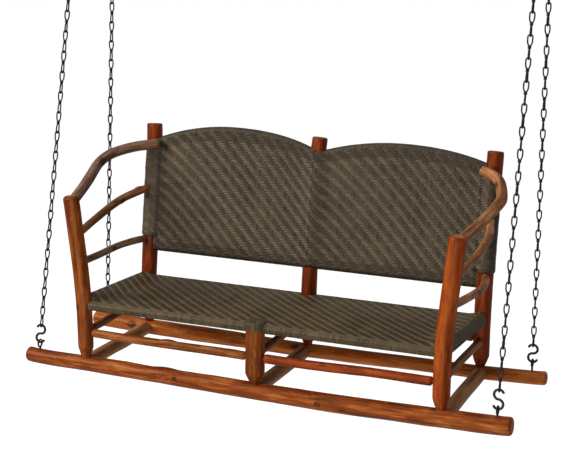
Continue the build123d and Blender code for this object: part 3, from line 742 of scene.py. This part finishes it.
# --- Arms ---
ARM_R = 0.0165
ARM_TENON_R = 0.009
ARM_JOINT_H = 0.506
UPPER_SPINDLE_R = 0.0125
UPPER_SPINDLE_H = {"front": 0.405, "rear": 0.468}
UPPER_SPINDLE_INSET = 0.002  # its rear end stands this far in from the post's axis
UPPER_SPINDLE_BITE = 0.001  # its rear shoulder stands this far in the post
LOWER_SPINDLE_R = {"left": 0.0112, "right": 0.0122}
LOWER_SPINDLE_TENON_R = 0.0065
LOWER_SPINDLE_H = {"front": 0.320, "rear": 0.297}
ARM_SHAPE = {
    "left": [(0.634, -0.060, 0.542), (0.662, 0.085, 0.588), (0.613, 0.191, 0.607), (0.540, 0.2405, 0.613)],
    "right": [
        (0.622, -0.060, 0.527),
        (0.645, 0.060, 0.560),
        (0.648, 0.092, 0.576),
        (0.612, 0.191, 0.609),
        (0.546, 0.2405, 0.616),
    ],
}
UPPER_SPINDLE_SHAPE = {
    "left": [(0.611, -0.040, 0.426), (0.613, 0.095, 0.449), (0.590, 0.185, 0.461)],
    "right": [(0.609, -0.040, 0.422), (0.612, 0.095, 0.451), (0.590, 0.185, 0.466)],
}
LOWER_SPINDLE_SHAPE = {
    "left": [(0.592, -0.060, 0.309), (0.604, 0.065, 0.304), (0.593, 0.150, 0.302)],
    "right": [(0.592, -0.060, 0.306), (0.604, 0.065, 0.301), (0.593, 0.150, 0.299)],
}
ARM_KNOTS = {
    "left": [(0.26, 60, 0.014, 0.0016, 0.5), (0.13, 200, 0.010, 0.0012, 0.5)],
    "right": [(0.36, 280, 0.016, 0.0022, 0.5), (0.20, 120, 0.010, 0.0010, 0.5)],
}
UPPER_SPINDLE_KNOTS = [
    (0.30, 90, 0.012, 0.003, 0.3),
    (0.40, 300, 0.012, 0.0035, 0.1),
    (0.425, 60, 0.012, 0.003, 0.0),
    (0.14, 250, 0.009, 0.0015, 0.4),
]
LOWER_SPINDLE_KNOTS = [(0.22, 90, 0.010, 0.0018, 0.5)]


def from_arm_post(bay, h, shape):
    """A route that starts in an arm post at a height and goes on through places counted outwards."""
    return [at(arm_post_x(bay, h), -SKID_Y, h)] + [at(SIDES[bay] * x, y, place_h) for x, y, place_h in shape]


for bay, side in SIDES.items():
    arm_wood = left_arm_wood if bay == "left" else right_arm_wood
    front_r, rear_r = POST_R["front", bay], POST_R["rear", bay]
    make_rail(
        f"arm_rail_{bay}",
        from_arm_post(bay, ARM_JOINT_H, ARM_SHAPE[bay]),
        ARM_R,
        ARM_TENON_R,
        (front_r, 0),
        arm_wood,
        "arm_wood",
        seed=120 + side,
        knots=ARM_KNOTS[bay],
        lumps=0.05,
        wander=0.0015,
    )
    rear_h = UPPER_SPINDLE_H["rear"]
    corners = from_arm_post(bay, UPPER_SPINDLE_H["front"], UPPER_SPINDLE_SHAPE[bay])
    corners.append(at(side * (BAY - UPPER_SPINDLE_INSET), rear_post_y(rear_h), rear_h))
    make_rail(
        f"arm_spindle_upper_{bay}",
        corners,
        UPPER_SPINDLE_R,
        RAIL_TENON_R,
        (front_r, rear_r - UPPER_SPINDLE_BITE),
        spindle_wood if bay == "left" else arm_wood,
        "arm_wood",
        seed=130 + side,
        knots=UPPER_SPINDLE_KNOTS,
        lumps=0.10,
        wander=0.002,
    )
    rear_h = LOWER_SPINDLE_H["rear"]
    corners = from_arm_post(bay, LOWER_SPINDLE_H["front"], LOWER_SPINDLE_SHAPE[bay])
    corners.append(at(side * BAY, rear_post_y(rear_h), rear_h))
    make_rail(
        f"arm_spindle_lower_{bay}",
        corners,
        LOWER_SPINDLE_R[bay],
        LOWER_SPINDLE_TENON_R,
        (front_r, rear_r),
        arm_wood,
        "arm_wood",
        seed=140 + side,
        knots=LOWER_SPINDLE_KNOTS,
        lumps=0.08,
        wander=0.0018,
    )

# --- Weave ---
FLOAT = 3  # each strand passes over three and under three
STRAND_LIFT = 0.0013
STRAND_CROWN = 0.0015
CELL_SAMPLES = (0.05, 0.35, 0.65, 0.95)
BORDER = 3  # cells beside an edge where only the strands that wrap it show
WEAVE_T = 0.0022  # from a sheet's skin out to the crowns of its strands
SLEEVE_T = 0.0016  # the same, of the weave round a post
X_AXIS = np.array((1.0, 0, 0))


def weave_heights(u, v, cells_u, cells_v, border, seed, shift=0):
    """Height, strand coordinates, tint (random tone with painted light and shade) and depth of a 3/3 twill at
    points u, v counted in cells.
    """
    column, row = np.floor(u).astype(int), np.floor(v).astype(int)
    across_u, across_v = u - column, v - row
    phase = (column + row + shift) % (2 * FLOAT)
    upright = phase < FLOAT
    left, right, low, top = border
    near_v = (row < low) | (row >= cells_v - top)
    near_u = (column < left) | (column >= cells_u - right)
    upright = np.where(near_v, True, np.where(near_u, False, upright))
    float_place = np.where(upright, phase % FLOAT + across_v, (phase - FLOAT) % FLOAT + across_u) / FLOAT
    lift = 1 - np.abs(2 * float_place - 1) ** 3
    steep = np.clip(float_place / 0.22, 0, 1) * (1 - 0.55 * float_place)
    lift = np.where(upright, 0.25 * lift, 0.35 * lift + 1.1 * steep)
    plain = near_v | near_u
    lift = np.where(plain, 0.45, lift)
    crown_place = np.where(upright, across_u, across_v)
    crown = np.sqrt(np.clip(1 - (2 * crown_place - 1) ** 2, 0, 1))
    generator = np.random.default_rng(seed)
    tints = generator.random((2, cells_u + cells_v + 8))
    jitter = generator.random((2, cells_u + cells_v + 8))
    number = np.where(upright, column, row) % tints.shape[1]
    kind = upright.astype(int)
    tint = tints[kind, number]
    patch = smooth_noise(u / 9, v / 9, 0, seed + 3)
    height = STRAND_LIFT * lift + STRAND_CROWN * crown * (0.85 + 0.3 * jitter[kind, number])
    along = np.where(upright, v, u) * STRAND
    strand = np.stack([crown_place * STRAND, along, number * 3.7 + kind * 511.0], axis=-1)
    # depth becomes the height attribute, from which the cane material paints shade between the strands.
    depth = np.clip(0.75 * crown + 0.35 * lift, 0, 1)
    # Painted light and shade: upright floats are darker and flat floats lighter, and each float is lighter at
    # its start and darker at its end; plain border strands get one fixed tone.
    tone_and_painted_light = np.where(plain, 0.18, np.where(upright, 0.04, 0.52))
    tone_and_painted_light = tone_and_painted_light + np.where(plain, 0, np.where(upright, 0.10, 0.55) * (0.5 - float_place))
    tint = np.clip(tone_and_painted_light + 0.34 * tint + 0.16 * patch, 0, 1)
    return height, strand, tint, depth


def sample_cells(count):
    """Sample places along a row of cells."""
    return (np.arange(count)[:, None] + np.array(CELL_SAMPLES)[None, :]).ravel()


def woven_grid(cells_u, cells_v, border, seed, shift=0):
    """Sample points of a sheet of cells, and what weave_heights says of them."""
    u, v = np.meshgrid(sample_cells(cells_u), sample_cells(cells_v), indexing="xy")
    return u, v, weave_heights(u, v, cells_u, cells_v, border, seed, shift)


def woven_piece(name, points, quads, lids, weave, material):
    """A piece of the swing's weave, from its points and what weave_heights said of them."""
    height, strand, tint, depth = weave
    fields = {"strand": strand.reshape(-1, 3), "tint": tint.ravel(), "height": depth.ravel()}
    piece = make_mesh(name, points.reshape(-1, 3), quads, lids, fields, material)
    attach(piece, "swing_seat")
    return piece


def along_axes(origin, *amounts):
    """Points at amounts along axes from an origin. Each amount comes with its axis."""
    points = origin
    for amount, axis in amounts:
        points = points + amount[..., None] * axis
    return points


def roll_over(distance, half, radius):
    """Places and angles of an outline that runs straight for half, then turns over a rail's edge."""
    beyond = np.clip(np.abs(distance) - half, 0, None)
    turn = beyond / radius
    place = np.sign(distance) * (np.minimum(np.abs(distance), half) + radius * np.sin(turn))
    return place, turn


# Seat: a twill sleeve round the four seat rails, with its corners and post holes cut away.
SEAT_SLOPE = math.atan2(SEAT_REAR_H - SEAT_FRONT_H, 2 * SKID_Y)
SEAT_HALF_DEPTH = SKID_Y / math.cos(SEAT_SLOPE)
SEAT_ALONG = np.array((0, math.cos(SEAT_SLOPE), math.sin(SEAT_SLOPE)))
SEAT_UP = np.array((0, -math.sin(SEAT_SLOPE), math.cos(SEAT_SLOPE)))
SEAT_MIDDLE = at(0, 0, (SEAT_FRONT_H + SEAT_REAR_H) / 2)
SKIN_R = ROLL_R - WEAVE_T
SEAT_SAG = 0.0035
SIDE_LIFT = 0.014  # the side rails stand above the front and rear ones
SIDE_LIFT_WIDTH = 0.09
SIDE_LIFT_START = 0.035
ROLL_ARC = SKIN_R * math.pi / 2
CUT_INSET = 0.002  # the sheets go this far into the posts
FRONT_HIGHLIGHT_ROW = 2  # the row of strands along the front rail that is painted lighter as a highlight


def seat_sheet(name, face):
    """The upper (face 1) or lower (face -1) sheet of the seat, out to the middle of its rolled edges."""
    half_u, half_v = SEAT_SIDE_X + ROLL_ARC, SEAT_HALF_DEPTH + ROLL_ARC
    cells_u, cells_v = int(round(2 * half_u / STRAND)), int(round(2 * half_v / STRAND))
    cells_u, cells_v = cells_u + cells_u % 2, cells_v + cells_v % 2
    u, v, weave = woven_grid(cells_u, cells_v, (BORDER, BORDER, BORDER, BORDER), 300 + face)
    height, strand, tint, depth = weave
    x, turn_x = roll_over((u / cells_u - 0.5) * 2 * half_u, SEAT_SIDE_X, SKIN_R)
    y, turn_y = roll_over((v / cells_v - 0.5) * 2 * half_v, SEAT_HALF_DEPTH, SKIN_R)
    out_x, out_y = np.sign(x) * np.sin(turn_x), np.sign(y) * np.sin(turn_y)
    out_z = np.minimum(np.cos(turn_x), np.cos(turn_y))
    length = np.sqrt(out_x**2 + out_y**2 + out_z**2) + 1e-9
    out_x, out_y, out_z = out_x / length, out_y / length, out_z / length
    toward_side = smooth_step((np.abs(x) - SEAT_SIDE_X + SIDE_LIFT_WIDTH) / SIDE_LIFT_WIDTH)
    lift = SIDE_LIFT * toward_side * smooth_step((SEAT_HALF_DEPTH - np.abs(y)) / SIDE_LIFT_START)
    sag = SEAT_SAG * np.clip(1 - (x / SEAT_SIDE_X) ** 4, 0, 1) * np.clip(1 - (y / SEAT_HALF_DEPTH) ** 2, 0, 1)
    level = SKIN_R * np.minimum(np.cos(turn_x), np.cos(turn_y))
    if face > 0:
        level = level + lift * np.cos(turn_x) - sag
        # Painted highlight: one row of strands along the front rail is tinted light, standing in for light
        # caught on the roll's crown.
        painted_highlight_line = (np.floor(v) == FRONT_HIGHLIGHT_ROW) & (turn_x == 0)
        tint = np.where(painted_highlight_line, 1.0 - 0.25 * tint, tint)
        tint = np.where(turn_x > 0, 0.30 + 0.5 * tint, tint)
    px, py, pz = x + out_x * height, y + out_y * height, level + out_z * height
    points = along_axes(SEAT_MIDDLE, (px, X_AXIS), (py, SEAT_ALONG), (face * pz, SEAT_UP))
    quads = grid_quads(*u.shape, flip=face < 0)
    middle = points.reshape(-1, 3)[quads].mean(axis=1)
    keep = np.ones(len(quads), bool)
    for (row, bay), radius in POST_R.items():
        keep &= np.hypot(middle[:, 0] - BAYS[bay] * BAY, middle[:, 1] - ROW_Y[row]) > radius - CUT_INSET
    return woven_piece(name, points, quads[keep], [], (height, strand, tint, depth), seat_cane)


seat_top = seat_sheet("woven_seat_top", 1)
seat_sheet("woven_seat_bottom", -1)
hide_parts("woven_seat")

# Back: two arched panels in the leaning plane of the rear posts, and sleeves round the posts.
BACK_UP = np.array((0, math.sin(LEAN_ANGLE), math.cos(LEAN_ANGLE)))
BACK_FRONT = np.array((0, -math.cos(LEAN_ANGLE), math.sin(LEAN_ANGLE)))
BACK_ORIGIN = at(0, rear_post_y(BACK_RAIL_H), BACK_RAIL_H)


def along_back(h):
    """Distance up the slope of the back from its bottom rail."""
    return (h - BACK_RAIL_H) / math.cos(LEAN_ANGLE)


def arch(bay):
    """Centre and radius of a hoop's circle in the back's plane, and its two ends' X."""
    side = SIDES[bay]
    inner = side * (POST_R["rear", "centre"] + HOOP_GAP)
    outer = side * (BAY - POST_R["rear", bay] - HOOP_GAP)
    half = abs(outer - inner) / 2
    rise = HOOP_RISE[bay]
    radius = (half**2 + rise**2) / (2 * rise)
    return (inner + outer) / 2, along_back(HOOP_END_H) + rise - radius, radius, inner, outer


DARK_ROWS = 7  # the darker rows of strands under a hoop
BACK_BULGE = 0.004
WRAP_FADE = 0.012  # a wrapped post's ridge rises and ends over this
CREASE_SHADE_OFFSET = 0.004  # from a wrapped post's surface to the painted shade of the crease beside it
CREASE_SHADE_WIDTH = 0.006
RIDGE_WIDTH = 0.030  # how far the weave takes to come down from a post to the panel


def panel_sheet(bay, face):
    """The front (face 1) or back (face -1) sheet of a back panel."""
    centre_x, centre_s, radius, inner, outer = arch(bay)
    low_x, high_x = sorted((0.0, SIDES[bay] * BAY))
    cells_u = int(round((high_x - low_x) / STRAND))
    mean_height = along_back(HOOP_END_H) + 0.7 * HOOP_RISE[bay] + 2 * ROLL_ARC
    cells_v = int(round(mean_height / STRAND))
    shift = 0 if bay == "right" else -cells_u
    u, v, weave = woven_grid(cells_u, cells_v, (0, 0, BORDER, BORDER), 320 + face, shift)
    height, strand, tint, depth = weave
    x = low_x + (high_x - low_x) * u / cells_u
    hoop_x = np.clip(x, min(inner, outer), max(inner, outer))
    hoop_s = centre_s + np.sqrt(radius**2 - (hoop_x - centre_x) ** 2)
    hoop_s = hoop_s + HOOP_LIFT[bay] * smooth_step((hoop_x - centre_x) / abs(outer - inner) * 2)
    share = v / cells_v * (hoop_s + 2 * ROLL_ARC) - ROLL_ARC
    beyond_top = np.clip(share - hoop_s, 0, None) / SKIN_R
    beyond_low = np.clip(-share, 0, None) / SKIN_R
    turn = np.maximum(beyond_top, beyond_low)
    normal_x = np.where(beyond_top > 0, (hoop_x - centre_x) / radius, 0)
    normal_s = np.where(beyond_top > 0, (hoop_s - centre_s) / radius, -1.0 * (beyond_low > 0))
    reach = (SKIN_R + height) * np.sin(turn)
    s = np.clip(share, 0, hoop_s) + normal_s * reach
    px = x + normal_x * reach
    bulge = BACK_BULGE * np.sin(np.pi * np.clip(share / hoop_s, 0, 1)) * np.sin(np.pi * u / cells_u)
    low, top = along_back(WRAP_LOW_H), along_back(WRAP_TOP_H)
    wrapped = smooth_step((share - low) / WRAP_FADE) * smooth_step((top - share) / WRAP_FADE)
    outer_x, outer_r = SIDES[bay] * BAY, POST_R["rear", bay]
    ridge = 0.0
    for post_x, post_r, shown in ((0, POST_R["rear", "centre"], 1.0), (outer_x, outer_r, wrapped)):
        rise = post_r + WEAVE_T - SKIN_R
        ridge = ridge + rise * shown * np.exp(-(((x - post_x) / RIDGE_WIDTH) ** 2))
    forward = (SKIN_R + ridge + height) * np.cos(turn) - (bulge if face > 0 else -bulge * 0.6)
    points = along_axes(BACK_ORIGIN, (px, X_AXIS), (s, BACK_UP), (face * forward, BACK_FRONT))
    tint = np.where((v > cells_v - DARK_ROWS) | (v < DARK_ROWS - 1), 0.35 * tint, tint)
    # Painted shade: the weave is darkened in a narrow band beside a wrapped post, where the crease would be in
    # shade.
    from_post = np.abs(x - outer_x)
    crease = (from_post - outer_r - CREASE_SHADE_OFFSET) / CREASE_SHADE_WIDTH
    tint = tint * (1 - 0.85 * np.exp(-(crease**2)))
    tint = np.where(from_post < outer_r - 0.002, 0.35 + 0.5 * tint, tint)
    quads = grid_quads(*u.shape, flip=face < 0)
    name = f"woven_back_{bay}_{'front' if face > 0 else 'rear'}"
    return woven_piece(name, points, quads, [], (height, strand, tint, depth), back_cane)


panels = [panel_sheet(bay, face) for bay in SIDES for face in (1, -1)]
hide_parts("woven_back")


SLEEVE_SEED = {"left": 344, "right": 345}


def post_sleeve(bay):
    """The weave round an outer rear post, with its ends turned in to the post."""
    radius = POST_R["rear", bay] + SLEEVE_T
    length = along_back(WRAP_TOP_H) - along_back(WRAP_LOW_H)
    cells_v = int(round(length / STRAND))
    cells_u = int(round(2 * math.pi * (radius + 0.002) / STRAND / (2 * FLOAT))) * 2 * FLOAT
    u, v, weave = woven_grid(cells_u, cells_v, (cells_u, 0, 0, 0), SLEEVE_SEED[bay])
    lumps = 0.0010 * smooth_noise(u / 6, v / 2.5, 0, SLEEVE_SEED[bay] + 10)
    ends = np.minimum(v, cells_v - v) / 0.8
    around = radius - 0.002 + (0.002 + weave[0] + lumps) * smooth_step(ends + 0.25)
    angle = u / cells_u * 2 * math.pi + math.pi / 2
    points = along_axes(
        BACK_ORIGIN + np.array((BAYS[bay] * BAY, 0, 0)) + BACK_UP * along_back(WRAP_LOW_H),
        (around * np.cos(angle), X_AXIS),
        (-around * np.sin(angle), BACK_FRONT),
        (v / cells_v * length, BACK_UP),
    )
    woven_piece(f"woven_sleeve_{bay}", points, grid_quads(*u.shape, wrap=True), [], weave, back_cane)


for bay in SIDES:
    post_sleeve(bay)


def centre_cap():
    """The weave drawn over the top of the front centre post: a domed top and a short skirt."""
    radius = POST_R["front", "centre"] + SLEEVE_T
    skirt = CENTRE_POST_H - SEAT_FRONT_H
    rings = int(round((radius + skirt) / STRAND))
    around = 24
    u, v, weave = woven_grid(around, rings, (0, 0, rings, 0), 360)
    height = weave[0]
    outline = v / rings * (radius + skirt)
    out = np.minimum(outline, radius - 0.004)
    down = np.clip(outline - radius, 0, None)
    corner = smooth_step((outline - radius + 0.008) / 0.010)
    out = out + 0.004 * corner
    top = CENTRE_POST_H + SLEEVE_T - down - 0.003 * corner
    angle = u / around * 2 * math.pi
    spread = out + height * corner
    z = top - CEILING_H + height * (1 - corner)
    points = np.stack([spread * np.cos(angle), spread * np.sin(angle) - SKID_Y, z], axis=-1)
    quads = grid_quads(*u.shape, wrap=True, flip=True)
    woven_piece("woven_cap", points, quads, [np.arange(u.shape[1])], weave, seat_cane)


centre_cap()

# --- Chains ---
LINK_COUNT = 18
LINK_REACH = 0.033
LINK_HALF_WIDTH = 0.0067
LINK_WIRE_R = 0.0022
MODEL_LINK_WIRE_R = 0.0023
SLACK = 0.0003  # between a link and its hook in the model
S_HOOK_R = 0.014
S_WIRE_R = 0.00375
CHAIN_TOP_H = 1.1955
EYE_X = {"front": 0.7335, "rear": 0.731}
PIVOT_H = 0.046
OPEN_PIVOT_SHIFT = 0.0017
CHAIN_LEAN = {  # towards +X, as a share of the rise
    ("front", "left"): 0.076,
    ("front", "right"): 0.020,
    ("rear", "left"): 0.078,
    ("rear", "right"): 0.009,
}
WIRE_DOME = ((0.25, 0.95), (0.7, 0.7), (0.95, 0.3))  # radius and reach of the rings of a wire's end
COIL_R = 0.0036
COIL_WIRE_R = 0.0018
COIL_HALF = 0.0048
COIL_TURNS = 2.6
COIL_POINTS = 46


def wire_part(route, radius, around):
    """Points and quads of a round wire with domed ends along a route."""
    along, across, side = carried_frames(route)
    shares = np.ones(len(route))
    shift = np.zeros(len(route))
    for index, (share, push) in enumerate(WIRE_DOME):
        shares[index] = shares[-1 - index] = share
        shift[index], shift[-1 - index] = -push, push
    first, last = route[3], route[-4]
    centre = route.copy()
    for index in range(3):
        centre[index] = first + along[3] * shift[index] * radius
        centre[-1 - index] = last + along[-4] * shift[-1 - index] * radius
    angle = np.arange(around) / around * 2 * math.pi
    spread = (shares * radius)[:, None]
    return swept(centre, across, side, spread * np.cos(angle), spread * np.sin(angle))


def loop_route(up):
    """A chain loop from the knot, round its end and back, in its own plane."""
    width, reach = LINK_HALF_WIDTH, LINK_REACH
    neck = reach - width
    turn = np.radians(np.linspace(0, 180, 15))
    left = np.array([(0.0012, 0.0), (0.0024, 0.003), (width * 0.86, neck * 0.36), (width, neck * 0.62)])
    arc = np.stack([width * np.cos(turn), neck + width * np.sin(turn)], axis=1)
    right = left[::-1] * (-1, 1)
    outline = np.concatenate([left, arc, right])
    dense = smooth_route([(x, 0.0, z) for x, z in outline], 0.0016)[0]
    return dense * (1, 1, up)


def link_parts():
    """One double-loop link about its knot: two loops at right angles and the wire wound round its neck."""
    upper = loop_route(1)
    lower = loop_route(-1)[:, [1, 0, 2]]
    turn = np.linspace(0, 2 * math.pi * COIL_TURNS, COIL_POINTS)
    rise = np.linspace(-COIL_HALF, COIL_HALF, COIL_POINTS)
    coil = np.stack([COIL_R * np.cos(turn), COIL_R * np.sin(turn), rise], axis=1)
    loops = [wire_part(loop, LINK_WIRE_R, 10) for loop in (upper, lower)]
    return [*loops, wire_part(coil, COIL_WIRE_R, 8)]


def hanging_axes(row, bay):
    """Origin and axes of a corner's chain, from the S-hook's pivot up to the ceiling hook."""
    eye_x = SIDES[bay] * EYE_X[row]
    shift = OPEN_PIVOT_SHIFT if row == "rear" else 0.0
    pivot = at(eye_x, ROW_Y[row] + shift, PIVOT_H)
    rise = CHAIN_TOP_H - PIVOT_H
    top = at(eye_x + CHAIN_LEAN[row, bay] * rise, HOOK_Y[row], CHAIN_TOP_H)
    direction = top - pivot
    length = np.linalg.norm(direction)
    z_axis = direction / length
    x_axis = np.cross((0, 1, 0), z_axis)
    x_axis /= np.linalg.norm(x_axis)
    return pivot, x_axis, np.cross(z_axis, x_axis), z_axis, length


joint_y = {joint["name"]: joint["pos_m"][1] for joint in frame["joints"]}
HOOK_Y = {"front": joint_y["front_chain_swing"], "rear": joint_y["rear_chain_swing"]}
link = link_parts()
for row in ROW_Y:
    for bay, side in SIDES.items():
        pivot, x_axis, y_axis, z_axis, length = hanging_axes(row, bay)
        first_knot = 4 * S_HOOK_R - S_WIRE_R - MODEL_LINK_WIRE_R - SLACK + LINK_REACH
        pitch = (length - LINK_REACH - first_knot) / (LINK_COUNT - 1)
        axes = np.stack([x_axis, y_axis, z_axis])
        all_points, all_quads, all_lids, count = [], [], [], 0
        generator = np.random.default_rng(400 + side + (10 if row == "rear" else 0))
        for index in range(LINK_COUNT):
            twist = math.radians(generator.uniform(-7, 7)) * (0 < index < LINK_COUNT - 1)
            cosine, sine = math.cos(twist), math.sin(twist)
            turn = np.array(((cosine, sine, 0), (-sine, cosine, 0), (0, 0, 1)))
            knot = pivot + z_axis * (first_knot + pitch * index)
            for points, quads, lids in link:
                all_points.append(knot + (points @ turn) @ axes)
                all_quads.append(quads + count)
                all_lids += [lid + count for lid in lids]
                count += len(points)
        points, quads = np.concatenate(all_points), np.concatenate(all_quads)
        chain = make_mesh(f"links_{row}_{bay}", points, quads, all_lids, {}, black_steel)
        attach(chain, f"{row}_chains")
        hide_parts(f"chain_{row}_{bay}")

# --- Parts kept from the model ---
for name, node in frame["nodes"].items():
    steel = name.startswith(("screw_eye", "s_hook", "ceiling_hook", "nails", "chain"))
    material = black_steel if steel else inner_wood
    node.data.materials.clear()
    node.data.materials.append(material)

# --- Floor and light ---
FLOOR_Z = -1.72


def floor():
    shader = Shader("floor")
    place = shader.node("ShaderNodeTexCoord").outputs["Object"]
    speck = shader.noise(place, (3, 3, 3), 2)
    colour = shader.ramp(speck, [(0.3, 0.30), (0.7, 0.32)])
    material = shader.finish(colour, 0.9, [(speck, 0.001, 0.05)], emission_strength=0.9)
    shader.surface.inputs["Emission Color"].default_value = (1, 1, 1, 1)
    bpy.ops.mesh.primitive_plane_add(size=60, location=(0, 0, FLOOR_Z))
    plane = bpy.context.active_object
    plane.name = "floor"
    plane.data.materials.append(material)
    plane.visible_glossy = False
    plane.visible_diffuse = False


def area_light(name, place, target, size, power, colour=(1, 1, 1)):
    data = bpy.data.lights.new(name, "AREA")
    data.shape = "DISK"
    data.size = size
    data.energy = power
    data.color = colour
    light = bpy.data.objects.new(name, data)
    light.location = place
    direction = Vector(target) - Vector(place)
    light.rotation_mode = "QUATERNION"
    light.rotation_quaternion = direction.to_track_quat("-Z", "Y")
    bpy.context.scene.collection.objects.link(light)
    return light


floor()
area_light("key", (-2.9, -2.5, 1.3), (0, 0, -0.95), 2.0, 134, (1, 0.96, 0.90))
area_light("top", (-0.4, -0.4, 2.2), (0, 0, -1.0), 2.6, 34)
area_light("fill", (0.6, -4.4, -1.6), (0, 0, -1.1), 2.6, 84, (1, 0.95, 0.88))
bounce = area_light("bounce", (0, -0.5, FLOOR_Z + 0.02), (0, 0, -1.0), 2.6, 6, (1, 0.95, 0.88))
bounce.visible_camera = False
world = bpy.data.worlds.new("studio")
bpy.context.scene.world = world
world.use_nodes = True
world.node_tree.nodes["Background"].inputs["Color"].default_value = (1, 1, 1, 1)
world.node_tree.nodes["Background"].inputs["Strength"].default_value = 0.27
bpy.context.scene.view_settings.view_transform = "Standard"
